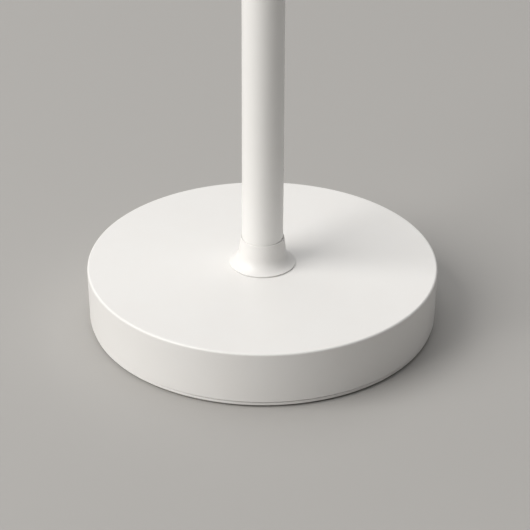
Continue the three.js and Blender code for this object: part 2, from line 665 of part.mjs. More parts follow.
function buildSerialJack() {
  const half = SERIAL_WIDTH / 2;
  const mouthHalf = SERIAL_MOUTH_WIDTH / 2;
  const mouthLow = socketBottom + (SERIAL_HEIGHT - SERIAL_MOUTH_HEIGHT + SERIAL_KEY_HEIGHT) / 2;
  const body = block(SERIAL_X - half, SERIAL_X + half, panelFace - SERIAL_DEPTH, panelFace,
    socketBottom, socketBottom + SERIAL_HEIGHT);
  const mouth = block(SERIAL_X - mouthHalf, SERIAL_X + mouthHalf, panelFace - SERIAL_MOUTH_DEPTH,
    BASE_RADIUS, mouthLow, mouthLow + SERIAL_MOUTH_HEIGHT);
  const key = block(SERIAL_X - SERIAL_KEY_WIDTH / 2, SERIAL_X + SERIAL_KEY_WIDTH / 2,
    panelFace - SERIAL_MOUTH_DEPTH, BASE_RADIUS, mouthLow - SERIAL_KEY_HEIGHT, mouthLow + 1);
  piece("serial_jack", body.subtract(mouth).subtract(key), greyPlastic);
}

function buildPowerJack() {
  const half = POWER_JACK_WIDTH / 2;
  const middle = socketBottom + POWER_JACK_HEIGHT / 2;
  const body = block(POWER_JACK_X - half, POWER_JACK_X + half, panelFace - POWER_JACK_DEPTH, panelFace,
    socketBottom, socketBottom + POWER_JACK_HEIGHT);
  const bore = rodY(POWER_BORE_RADIUS, panelFace - POWER_BORE_DEPTH, BASE_RADIUS, POWER_JACK_X, middle);
  const pin = rodY(POWER_PIN_RADIUS, panelFace - POWER_BORE_DEPTH - 1, panelFace - POWER_PIN_BELOW_FACE,
    POWER_JACK_X, middle, TINY);
  piece("power_jack", body.subtract(bore).add(pin), greyPlastic);
}

function buildPowerButton() {
  const half = SWITCH_WIDTH / 2;
  const capBack = panelBack - BUTTON_BEHIND_PANEL;
  const switchFront = capBack - BUTTON_TRAVEL - SEAT_GAP;
  const low = socketRow - SWITCH_HEIGHT / 2;
  const body = block(BUTTON_X - half, BUTTON_X + half, switchFront - SWITCH_DEPTH, switchFront, low,
    low + SWITCH_HEIGHT);
  const switchBack = switchFront - SWITCH_DEPTH;
  const legs = block(BUTTON_X - half + SWITCH_WALL, BUTTON_X + half - SWITCH_WALL, switchBack + SWITCH_WALL,
    switchFront - SWITCH_WALL, socketBottom, low + 1);
  const stemHole = rodY(BUTTON_STEM_RADIUS + FIT_GAP, switchBack + SWITCH_WALL, switchFront + 1,
    BUTTON_X, socketRow);
  piece("switch_body", body.add(legs).subtract(stemHole), greyPlastic);
  const capFace = panelFace + BUTTON_PROUD;
  const cap = rodY(BUTTON_RADIUS, capBack, capFace - BUTTON_CROWN, BUTTON_X, socketRow);
  const crown = rodY(BUTTON_RADIUS - BUTTON_CROWN, capBack, capFace, BUTTON_X, socketRow);
  const stemEnd = switchBack + 2 * SWITCH_WALL + BUTTON_TRAVEL;
  const stem = rodY(BUTTON_STEM_RADIUS, stemEnd, capBack + 1, BUTTON_X, socketRow);
  piece("power_button", joined([cap, crown, stem]), acetal);
}

/** A headless screw with a hexagonal socket, pointing in from the pole's surface along Y. */
function grubScrew(radius, height) {
  const face = POLE_RADIUS - GRUB_BELOW_SURFACE;
  const shank = rodY(radius, face - GRUB_LENGTH, face, 0, height, TINY);
  return shank.subtract(rodY(radius / 2, face - GRUB_SOCKET_DEPTH, face + 1, 0, height, 6));
}

// ---- Collar and pole ----
function buildCollar() {
  const mouthRadius = collarBoreRadius + COLLAR_LIP;
  const flareRadius = mouthRadius + COLLAR_FLARE_SWELL;
  const flareStart = BASE_HEIGHT + COLLAR_FLARE_START;
  const rimTop = collarFoot + COLLAR_FOOT_EDGE;
  const [reach, drop] = [COLLAR_FOOT_RADIUS - flareRadius, flareStart - rimTop];
  const flare = roundEdge(0, 0, 1, 180, 264, 8).map(([c, s]) => [
    COLLAR_FOOT_RADIUS + reach * c,
    flareStart + drop * s,
  ]);
  const outline = [
    [SPIGOT_THREAD_RADIUS + FIT_GAP, collarFoot],
    [SPIGOT_THREAD_RADIUS + FIT_GAP, collarFoot + COLLAR_WEB],
    [collarBoreRadius, collarFoot + COLLAR_WEB],
    [collarBoreRadius, collarTop],
    [mouthRadius, collarTop],
    ...flare,
    [COLLAR_FOOT_RADIUS, rimTop],
    [COLLAR_FOOT_RADIUS, collarFoot],
  ];
  piece("collar", turned(outline), whiteShell);
}

function buildPole() {
  const grubMiddle = poleBottom + GRUB_HEIGHT;
  const grubHole = rodY(GRUB_RADIUS + FIT_GAP, 0, POLE_RADIUS + 1, 0, grubMiddle, TINY);
  const poleTube = tube(POLE_RADIUS, poleBoreRadius, poleBottom, poleTop);
  piece("pole_tube", poleTube.subtract(grubHole), whitePaint);
  const spigot = joined([
    rod(SPIGOT_THREAD_RADIUS, spigotBottom, flangeTop),
    rod(POLE_RADIUS, flangeBottom, flangeTop),
    rod(poleBoreRadius - FIT_GAP, flangeTop - 1, poleBottom + SPIGOT_PLUG_LENGTH),
  ])
    .subtract(rod(SPIGOT_BORE_RADIUS, 0, poleTop, SMALL))
    .subtract(grubHole);
  piece("pole_spigot", spigot, steel);
  piece("pole_grub_screw", grubScrew(GRUB_RADIUS, grubMiddle), steel);
  const washer = tube(LOCK_WASHER_RADIUS, SPIGOT_THREAD_RADIUS + FIT_GAP, lockWasherBottom, lockWasherTop);
  piece("pole_lock_washer", washer, steel);
  const nut = hexagon(NUT_FLATS, nutBottom, nutTop).subtract(rod(SPIGOT_THREAD_RADIUS + FIT_GAP, 0, roof));
  piece("pole_nut", nut, steel);
}

// ---- Swivel ----
function buildSwivel() {
  const post = joined([
    rod(poleBoreRadius - FIT_GAP, poleTop - POST_PLUG_LENGTH, postFlangeBottom + 1),
    rod(POLE_RADIUS - REVEAL_DEPTH, postFlangeBottom, postFlangeTop),
    rod(POST_RADIUS, postFlangeTop - 1, postTop),
  ]).subtract(rod(POST_BORE_RADIUS, poleBottom, postTop + 1, SMALL));
  piece("swivel_post", post, steel);
  const postHole = POST_RADIUS + FIT_GAP;
  piece("thrust_washer", tube(POLE_RADIUS - REVEAL_DEPTH, postHole, thrustBottom, thrustTop), acetal);
  piece("swivel_bush", tube(bushRadius, postHole, sleeveBottom, sleeveBottom + BUSH_LENGTH), acetal);
  piece("wave_washer", tube(WAVE_WASHER_RADIUS, postHole, waveBottom, waveTop, SMALL), steel);
  const tab = block(-STOP_TAB_HALF_WIDTH, STOP_TAB_HALF_WIDTH, -sleeveCavityRadius + SEAT_GAP,
    -postHole - 1, stopBottom, stopTop);
  const stopWasher = tube(WAVE_WASHER_RADIUS, postHole, stopBottom, stopTop, SMALL).add(tab);
  piece("stop_washer", stopWasher, steel);
  const spanners = roundZ(4, 45, () => block(RING_NUT_RADIUS - 1, RING_NUT_RADIUS + 1, -1, 1,
    ringNutBottom - 1, ringNutTop + 1));
  const ringNut = tube(RING_NUT_RADIUS, postHole, ringNutBottom, ringNutTop).subtract(joined(spanners));
  piece("ring_nut", ringNut, steel);
}

function buildNeck() {
  const tabHalfAngle = THREE.MathUtils.radToDeg(Math.asin(STOP_TAB_HALF_WIDTH / STOP_LUG_INNER_RADIUS));
  const lugHalfAngle = 180 - SWIVEL_LIMIT - tabHalfAngle - LUG_CLEARANCE_ANGLE;
  const lug = sector(STOP_LUG_INNER_RADIUS, sleeveCavityRadius + 1, 90 - lugHalfAngle, 90 + lugHalfAngle,
    sleeveFloor - 1, stopTop + SEAT_GAP);
  const grubMiddle = sleeveTop - KNUCKLE_PLUG_LENGTH / 2;
  const grubHole = rodY(NECK_GRUB_RADIUS + FIT_GAP, 0, POLE_RADIUS + 1, 0, grubMiddle, TINY);
  const sleeve = rod(POLE_RADIUS, sleeveBottom, sleeveTop)
    .subtract(rod(sleeveCavityRadius, sleeveFloor, sleeveTop + 1))
    .subtract(rod(bushRadius + FIT_GAP, sleeveBottom - 1, sleeveFloor + 1))
    .add(lug)
    .subtract(grubHole);
  piece("neck_sleeve", sleeve, whitePaint);

  const barrel = rodX(BARREL_RADIUS, -BARREL_HALF_WIDTH, BARREL_HALF_WIDTH, 0, axisHeight);
  const hollowHalf = BARREL_HALF_WIDTH - BARREL_WALL;
  const hollow = rodX(BARREL_RADIUS - BARREL_WALL, -hollowHalf, hollowHalf, 0, axisHeight);
  const leadSlot = block(-LEAD_SLOT_HALF_WIDTH, LEAD_SLOT_HALF_WIDTH, -BARREL_RADIUS - 1,
    -TILT_BOLT_RADIUS, axisHeight - LEAD_SLOT_BELOW_AXIS, axisHeight + BARREL_RADIUS);
  const leadBend = block(-LEAD_SLOT_HALF_WIDTH, LEAD_SLOT_HALF_WIDTH, BARREL_WALL - BARREL_RADIUS, 0,
    knuckleBottom + KNUCKLE_PLUG_LENGTH, axisHeight);
  const knuckle = joined([
    rod(sleeveCavityRadius - FIT_GAP, knucklePlugBottom, knuckleBottom + 1),
    rod(POLE_RADIUS, knuckleBottom, axisHeight),
    barrel,
  ])
    .subtract(hollow)
    .subtract(leadSlot)
    .subtract(leadBend)
    .subtract(rod(SPIGOT_BORE_RADIUS, knucklePlugBottom - 1, axisHeight, SMALL))
    .subtract(rodX(TILT_BOLT_RADIUS + FIT_GAP, -BARREL_HALF_WIDTH - 1, BARREL_HALF_WIDTH + 1, 0,
      axisHeight, SMALL))
    .subtract(grubHole);
  piece("tilt_knuckle", knuckle, whitePaint);
  piece("neck_grub_screw", grubScrew(NECK_GRUB_RADIUS, grubMiddle), steel);
}

// ---- Tilt hinge ----
function buildTiltHinge() {
  const hole = TILT_BOLT_RADIUS + FIT_GAP;
  [["left", -1], ["right", 1]].forEach(([side, sign]) => {
    const [a, b] = [frictionWasherStart, frictionWasherStart + FRICTION_WASHER_THICKNESS];
    const [x0, x1] = sign > 0 ? [a, b] : [-b, -a];
    const washer = rodX(FRICTION_WASHER_RADIUS, x0, x1, 0, axisHeight, SMALL)
      .subtract(rodX(hole, x0 - 1, x1 + 1, 0, axisHeight, SMALL));
    piece("friction_washer_" + side, washer, acetal);
  });
  const springStart = lugEnd + SEAT_GAP;
  const springEnd = springStart + DISC_SPRING_THICKNESS;
  const nutStart = springEnd + SEAT_GAP;
  const nutEnd = nutStart + TILT_NUT_HEIGHT;
  const spring = rodX(DISC_SPRING_RADIUS, springStart, springEnd, 0, axisHeight, SMALL)
    .subtract(rodX(hole, springStart - 1, springEnd + 1, 0, axisHeight, SMALL));
  piece("disc_spring", spring, steel);
  const headEnd = -lugEnd - SEAT_GAP;
  const bolt = rodX(TILT_BOLT_RADIUS, headEnd - 1, nutEnd + 1, 0, axisHeight, SMALL)
    .add(rodX(TILT_BOLT_HEAD_RADIUS, headEnd - TILT_BOLT_HEAD, headEnd, 0, axisHeight, 6));
  piece("tilt_bolt", bolt, steel);
  const nut = rodX(TILT_BOLT_HEAD_RADIUS, nutStart, nutEnd, 0, axisHeight, 6)
    .subtract(rodX(hole, nutStart - 1, nutEnd + 1, 0, axisHeight, SMALL));
  piece("tilt_nut", nut, steel);
}

// ---- Display head ----
/** Middles of the four screws that close the head's case, as [x, z]. */
function caseScrewPlaces() {
  const [x, z] = [HEAD_WIDTH / 2 - CASE_SCREW_FROM_END, HEAD_HEIGHT / 2 - CASE_SCREW_FROM_EDGE];
  return [[-x, z], [x, z], [x, -z], [-x, -z]].map(([a, b]) => [a, headMiddle + b]);
}

/** Middles of the two screws that hold the display module, as [x, z]. */
function moduleScrewPlaces() {
  return [-1, 1].map((side) => [side * (moduleHalfWidth - MODULE_SCREW_FROM_END), headMiddle]);
}

/** Middles of the two screws that hold the controller board, as [x, z]. */
function controllerScrewPlaces() {
  const fromMiddle = CONTROLLER_WIDTH / 2 - CONTROLLER_SCREW_FROM_CORNER;
  return [-1, 1].map((side) => [side * fromMiddle, controllerHigh - CONTROLLER_SCREW_FROM_CORNER]);
}

/** The head's outer slab and the hollow inside it. */
function headSlab() {
  const outer = slabY(HEAD_WIDTH, HEAD_HEIGHT, HEAD_CORNER, headFront, headBack, headMiddle, HEAD_EDGE);
  const inner = slabY(HEAD_WIDTH - 2 * HEAD_WALL, HEAD_HEIGHT - 2 * HEAD_WALL, HEAD_CORNER - HEAD_WALL,
    bezelBack, headInnerBack, headMiddle);
  return { outer, inner };
}

function buildFrontBezel() {
  const { outer, inner } = headSlab();
  const [halfW, halfH] = [HEAD_WIDTH, HEAD_HEIGHT];
  const front = block(-halfW, halfW, headFront - 1, headJoint - SEAM / 2, headMiddle - halfH,
    headMiddle + halfH);
  const rebate = slabY(WINDOW_WIDTH + 2 * FIT_GAP, WINDOW_HEIGHT + 2 * FIT_GAP, WINDOW_CORNER,
    headFront - 1, windowBack + FIT_GAP, headMiddle);
  const opening = slabY(WINDOW_WIDTH - 2 * WINDOW_LEDGE, WINDOW_HEIGHT - 2 * WINDOW_LEDGE,
    WINDOW_CORNER - 1, headFront - 1, headJoint, headMiddle);
  const bosses = caseScrewPlaces().map(([x, z]) =>
    rodY(CASE_BOSS_RADIUS, bezelBack - 1, headJoint - SEAM / 2, x, z, SMALL),
  );
  const studs = moduleScrewPlaces().map(([x, z]) =>
    rodY(CASE_BOSS_RADIUS, bezelBack - 1, moduleFront - SEAT_GAP, x, z, SMALL),
  );
  const pilots = [...caseScrewPlaces(), ...moduleScrewPlaces()].map(([x, z]) =>
    rodY(SCREW_RADIUS + FIT_GAP, bezelBack, headJoint + 1, x, z, TINY),
  );
  const bezel = outer
    .intersect(front)
    .subtract(inner)
    .add(joined([...bosses, ...studs]))
    .subtract(joined([rebate, opening, ...pilots]));
  piece("front_bezel", bezel, whiteShell);
}

function buildRearCover() {
  const { outer, inner } = headSlab();
  const [halfW, halfH] = [HEAD_WIDTH, HEAD_HEIGHT];
  const rear = block(-halfW, halfW, headJoint + SEAM / 2, headBack + 1, headMiddle - halfH,
    headMiddle + halfH);
  const bosses = caseScrewPlaces().map(([x, z]) =>
    rodY(CASE_BOSS_RADIUS, headJoint + SEAM / 2, headInnerBack + 1, x, z, SMALL),
  );
  const seats = caseScrewPlaces().map(([x, z]) =>
    placed(screwHole(CASE_SCREW_LENGTH), FACING_BACK, [x, headBack - CASE_SCREW_SINK, z]),
  );
  const pillars = controllerScrewPlaces().map(([x, z]) =>
    rodY(CONTROLLER_PILLAR_RADIUS, controllerBack + SEAT_GAP, headInnerBack + 1, x, z, SMALL),
  );
  const pillarHoles = controllerScrewPlaces().map(([x, z]) =>
    rodY(SCREW_RADIUS + FIT_GAP, controllerFront, headInnerBack + 1, x, z, TINY),
  );
  const holeSize = 2 * (LEAD_RADIUS + LEAD_HOLE_CLEARANCE);
  const leadHole = slabY(holeSize, holeSize, HEAD_WALL - FIT_GAP, headInnerBack - 1, headBack + 1,
    leadHoleHeight);
  const cover = outer
    .subtract(inner)
    .add(joined([...bosses, ...pillars]))
    .intersect(rear)
    .subtract(joined([leadHole, ...seats, ...pillarHoles]));
  piece("rear_cover", cover, whiteShell);
}

/** The hinge housing's block, or the hollow in it when inset is its wall. */
function housingBlock(inset) {
  const width = 2 * (HINGE_BOX_HALF_WIDTH - inset);
  const height = HINGE_BOX_ABOVE_AXIS + HINGE_BOX_BELOW_AXIS - 2 * inset;
  const middle = axisHeight + (HINGE_BOX_ABOVE_AXIS - HINGE_BOX_BELOW_AXIS) / 2;
  const edge = inset > 0 ? 0 : HEAD_EDGE;
  return slabY(width, height, HINGE_BOX_CORNER - inset, headInnerBack - 1 - 2 * edge,
    HINGE_BOX_BEHIND_AXIS - inset, middle, edge);
}

/** The housing welded to the back of the cover: its cheeks hold the bolt that the head tilts on. */
function buildHingeHousing() {
  const [low, high] = [axisHeight - HEAD_HEIGHT, axisHeight + HEAD_HEIGHT];
  const recessTop = axisHeight + recessRadius;
  const behind = block(-HEAD_WIDTH, HEAD_WIDTH, headBack + SEAT_GAP, HINGE_BOX_BEHIND_AXIS + 1, low, high);
  const cheeks = block(-lugEnd, lugEnd, headBack, HINGE_BOX_BEHIND_AXIS, low, recessTop + HEAD_WALL)
    .intersect(housingBlock(0));
  const recess = block(-lugStart, lugStart, headBack - 1, HINGE_BOX_BEHIND_AXIS + 1, low, recessTop);
  const boltHole = rodX(TILT_BOLT_RADIUS + FIT_GAP, -lugEnd - 1, lugEnd + 1, 0, axisHeight, SMALL);
  const housing = housingBlock(0)
    .subtract(housingBlock(HEAD_WALL))
    .add(cheeks)
    .intersect(behind)
    .subtract(joined([recess, boltHole]));
  piece("hinge_housing", housing, whiteShell);
}

function buildHeadScrews() {
  caseScrewPlaces().forEach(([x, z], i) => {
    const y = headBack - CASE_SCREW_SINK - HEAD_BELOW_SEAT;
    piece("case_screw_" + (i + 1), placed(screw(CASE_SCREW_LENGTH), FACING_BACK, [x, y, z]), steel);
  });
  moduleScrewPlaces().forEach(([x, z], i) => {
    const y = moduleBack + SEAT_GAP + SCREW_HEAD_HEIGHT;
    piece("module_screw_" + (i + 1), placed(screw(MODULE_SCREW_LENGTH), FACING_BACK, [x, y, z]), steel);
  });
  controllerScrewPlaces().forEach(([x, z], i) => {
    const y = controllerFront - SEAT_GAP - SCREW_HEAD_HEIGHT;
    const length = headInnerBack - y - SEAT_GAP;
    piece("controller_screw_" + (i + 1), placed(screw(length), FACING_FRONT, [x, y, z]), steel);
  });
}

function buildDisplayModule() {
  const window = slabY(WINDOW_WIDTH, WINDOW_HEIGHT, WINDOW_CORNER, windowFront, windowBack, headMiddle);
  piece("display_window", window, smokedWindow);
  const [glassW, glassH] = [2 * glassHalfWidth, 2 * glassHalfHeight];
  const gasket = slabY(glassW, glassH, 1, gasketFront, gasketBack, headMiddle)
    .subtract(slabY(glassW - 2 * GASKET_WIDTH, glassH - 2 * GASKET_WIDTH, 1, gasketFront - 1,
      gasketBack + 1, headMiddle));
  piece("window_gasket", gasket, foam);
  piece("display_glass", slabY(glassW, glassH, 0.5, glassFront, glassBack, headMiddle), displayGlass);
  const trayW = glassW + 2 * (TRAY_WALL + FIT_GAP);
  const trayH = glassH + 2 * (TRAY_WALL + FIT_GAP);
  const tray = slabY(trayW, trayH, 1, glassFront, trayBack, headMiddle)
    .subtract(slabY(glassW + 2 * FIT_GAP, glassH + 2 * FIT_GAP, 0.6, glassFront - 1, glassBack + SEAT_GAP,
      headMiddle));
  piece("module_tray", tray, steel);
  const board = slabY(2 * moduleHalfWidth, 2 * moduleHalfHeight, 1, moduleFront, moduleBack, headMiddle);
  const moduleHoles = moduleScrewPlaces().map(([x, z]) =>
    rodY(SCREW_RADIUS + FIT_GAP, moduleFront - 1, moduleBack + 1, x, z, TINY),
  );
  piece("module_board", board.subtract(joined(moduleHoles)), circuitBoard);
  const controller = block(-CONTROLLER_WIDTH / 2, CONTROLLER_WIDTH / 2, controllerFront, controllerBack,
    controllerLow, controllerHigh);
  const holes = controllerScrewPlaces().map(([x, z]) =>
    rodY(SCREW_RADIUS + FIT_GAP, controllerFront - 1, controllerBack + 1, x, z, TINY),
  );
  piece("controller_board", controller.subtract(joined(holes)), circuitBoard);
}

/** A flat flexible cable folded between the module board and the controller board. */
function buildRibbon() {
  const [front, back] = [moduleBack + SEAT_GAP, controllerFront - SEAT_GAP];
  const low = controllerLow + RIBBON_FROM_EDGE;
  const outline = new THREE.Shape();
  const outer = (back - front) / 2;
  const inner = outer - RIBBON_THICKNESS;
  outline.moveTo(-RIBBON_FLAT, -outer);
  outline.lineTo(RIBBON_BOW, -outer);
  outline.absarc(RIBBON_BOW, 0, outer, -Math.PI / 2, Math.PI / 2, false);
  outline.lineTo(-RIBBON_FLAT, outer);
  outline.lineTo(-RIBBON_FLAT, inner);
  outline.lineTo(RIBBON_BOW, inner);
  outline.absarc(RIBBON_BOW, 0, inner, Math.PI / 2, -Math.PI / 2, true);
  outline.lineTo(-RIBBON_FLAT, -inner);
  const geometry = new THREE.ExtrudeGeometry(outline, {
    depth: RIBBON_WIDTH,
    bevelEnabled: false,
    curveSegments: 5,
  });
  geometry.rotateY(-Math.PI / 2);
  geometry.translate(CONTROLLER_WIDTH / 4 + RIBBON_WIDTH / 2, (front + back) / 2, low + RIBBON_FLAT);
  piece("ribbon_cable", solid(geometry), acetal);
}

// ---- Lead, from the socket board to the head ----
function buildLead() {
  const low = plateTop + LEAD_RADIUS + 1;
  const rise = spigotBottom - low;
  const poleLead = lead(
    [
      [0, boardFront - SEAT_GAP, boardTop - 1],
      [0, boardFront - 4, boardTop - 1.4],
      [0, boardFront - 14, low + 1],
      [0, 16, low],
      [0, 8, low],
      [0, 1.8, low + rise / 3],
      [0, 0.5, spigotBottom],
      [0, 0.1, spigotBottom + 6],
      [0, 0, spigotBottom + 12],
      [0, 0, poleBottom + 60],
      [0, 0, (poleBottom + poleTop) / 2],
      [0, 0, poleTop - 60],
      [0, 0, postTop - SEAT_GAP],
    ],
    60,
  );
  piece("pole_lead", poleLead, cableSheath);
  const neckLead = lead(
    [
      [0, 0, postTop + SEAT_GAP],
      [0, -0.6, axisHeight - 15],
      [0, -4, axisHeight - 9],
      [0, -5.9, axisHeight - 3],
      [0, -7.6, axisHeight + 1.6],
      [0, -10.4, leadHoleHeight],
      [0, headBack + 2 * SEAT_GAP + 0.8, leadHoleHeight],
    ],
    12,
  );
  piece("neck_lead", neckLead, cableSheath);
  const plugLow = controllerLow - SEAT_GAP - LEAD_PLUG_HEIGHT;
  const plugX = CONTROLLER_WIDTH / 4 - LEAD_PLUG_WIDTH / 2;
  const plugMiddle = (controllerFront + controllerBack) / 2;
  const plug = block(plugX - LEAD_PLUG_WIDTH / 2, plugX + LEAD_PLUG_WIDTH / 2,
    plugMiddle - LEAD_PLUG_DEPTH / 2, plugMiddle + LEAD_PLUG_DEPTH / 2, plugLow, plugLow + LEAD_PLUG_HEIGHT);
  piece("lead_plug", plug, acetal);
  const headLead = lead(
    [
      [0, headBack + SEAT_GAP + 0.5, leadHoleHeight],
      [0, headInnerBack - 1, leadHoleHeight],
      [3.5, plugMiddle + 0.6, leadHoleHeight],
      [plugX - 7, plugMiddle, leadHoleHeight - 0.6],
      [plugX - 1.4, plugMiddle, leadHoleHeight + 1.8],
      [plugX, plugMiddle, plugLow - 3],
      [plugX, plugMiddle, plugLow - SEAT_GAP],
    ],
    14,
  );
  piece("head_lead", headLead, cableSheath);
}

buildBaseShell();
buildBottomPlate();
buildBaseFixings();
buildBallast();
buildSocketBoard();
buildPortPanel();
buildSerialJack();
buildPowerJack();
buildPowerButton();
buildCollar();
buildPole();
buildSwivel();
buildNeck();
buildTiltHinge();
buildFrontBezel();
buildRearCover();
buildHingeHousing();
buildHeadScrews();
buildDisplayModule();
buildRibbon();
buildLead();

export default display;
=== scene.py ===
"""Visual model of a customer pole display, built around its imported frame.

A white display head tilts and swivels on a slim round pole, which stands in a flared collar on a
round weighted base. Shapes are worked in millimetres and placed in metres. +Z is up and the display
faces -Y.
"""

import itertools
import json
import logging
import math
from dataclasses import dataclass
from enum import Enum
from typing import Any, ClassVar, Iterable, Sequence

import bmesh
import bpy
from mathutils import Matrix, Vector


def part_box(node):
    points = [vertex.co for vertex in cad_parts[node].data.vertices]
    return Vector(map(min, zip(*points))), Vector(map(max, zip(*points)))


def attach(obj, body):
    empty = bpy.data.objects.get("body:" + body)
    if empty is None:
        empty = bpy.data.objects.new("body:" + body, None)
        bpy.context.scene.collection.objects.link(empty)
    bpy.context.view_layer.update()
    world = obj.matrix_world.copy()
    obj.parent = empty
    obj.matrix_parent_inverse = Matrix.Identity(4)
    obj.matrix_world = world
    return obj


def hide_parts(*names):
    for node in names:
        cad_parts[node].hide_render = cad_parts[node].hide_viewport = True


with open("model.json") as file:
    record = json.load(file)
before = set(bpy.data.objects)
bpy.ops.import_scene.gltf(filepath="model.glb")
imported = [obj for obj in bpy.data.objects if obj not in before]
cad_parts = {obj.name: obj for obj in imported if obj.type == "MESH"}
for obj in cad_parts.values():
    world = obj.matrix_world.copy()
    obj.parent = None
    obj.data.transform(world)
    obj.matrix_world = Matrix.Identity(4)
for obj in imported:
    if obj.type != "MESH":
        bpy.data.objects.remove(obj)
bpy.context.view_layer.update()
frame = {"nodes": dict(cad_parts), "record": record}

LOG = logging.getLogger("pole_display")
MM = 0.001  # metres in a millimetre
ROUND_STEPS = 6  # faces across a rounded corner of an outline
SHARP = math.radians(40)  # an edge that turns by more is one to round
NEAR = 1e-3  # places closer than this count as one
MERGE = 1e-4  # vertices closer than this are merged
THROUGH = 1.0  # how far a cutting shape reaches past what it cuts
GAP = 0.2  # room between a piece and what it sits in
SEAM = 0.3  # room between two pieces that meet end to end
NOISE_LOW, NOISE_HIGH = 0.3, 0.7  # nearly all of a noise texture's values lie between these
GLOSS_SPREAD = 1 / 0.7  # patches of gloss are this much wider than patches of colour

Corner = Sequence[float]  # radius, height and, where the corner is rounded, its rounding
Point = tuple[float, float, float]


class Facing(Enum):
    """A direction in the frame."""

    UP = (0.0, 0.0, 1.0)
    DOWN = (0.0, 0.0, -1.0)
    FRONT = (0.0, -1.0, 0.0)
    BACK = (0.0, 1.0, 0.0)
    RIGHT = (1.0, 0.0, 0.0)

    @property
    def vector(self) -> Vector:
        """The direction as a vector."""
        return Vector(self.value)

    @property
    def turn(self) -> Matrix:
        """The turn that points a shape made along +Z in this direction."""
        return Facing.UP.vector.rotation_difference(self.vector).to_matrix().to_4x4()


class Combine(Enum):
    """What a second shape does to the first."""

    JOIN = "UNION"
    CUT = "DIFFERENCE"
    KEEP = "INTERSECT"


class Box:
    """A node's box in the frame, in millimetres."""

    def __init__(self, node: str) -> None:
        """Reads a node's box from the frame."""
        low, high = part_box(node)
        self.low: Vector = low / MM
        self.high: Vector = high / MM
        self.middle: Vector = (self.low + self.high) / 2
        self.size: Vector = self.high - self.low

    @property
    def radius(self) -> float:
        """Half the box's widest side across Z."""
        return max(self.size.x, self.size.y) / 2


# ---------------------------------------------------------------------------------------------
# Shapes


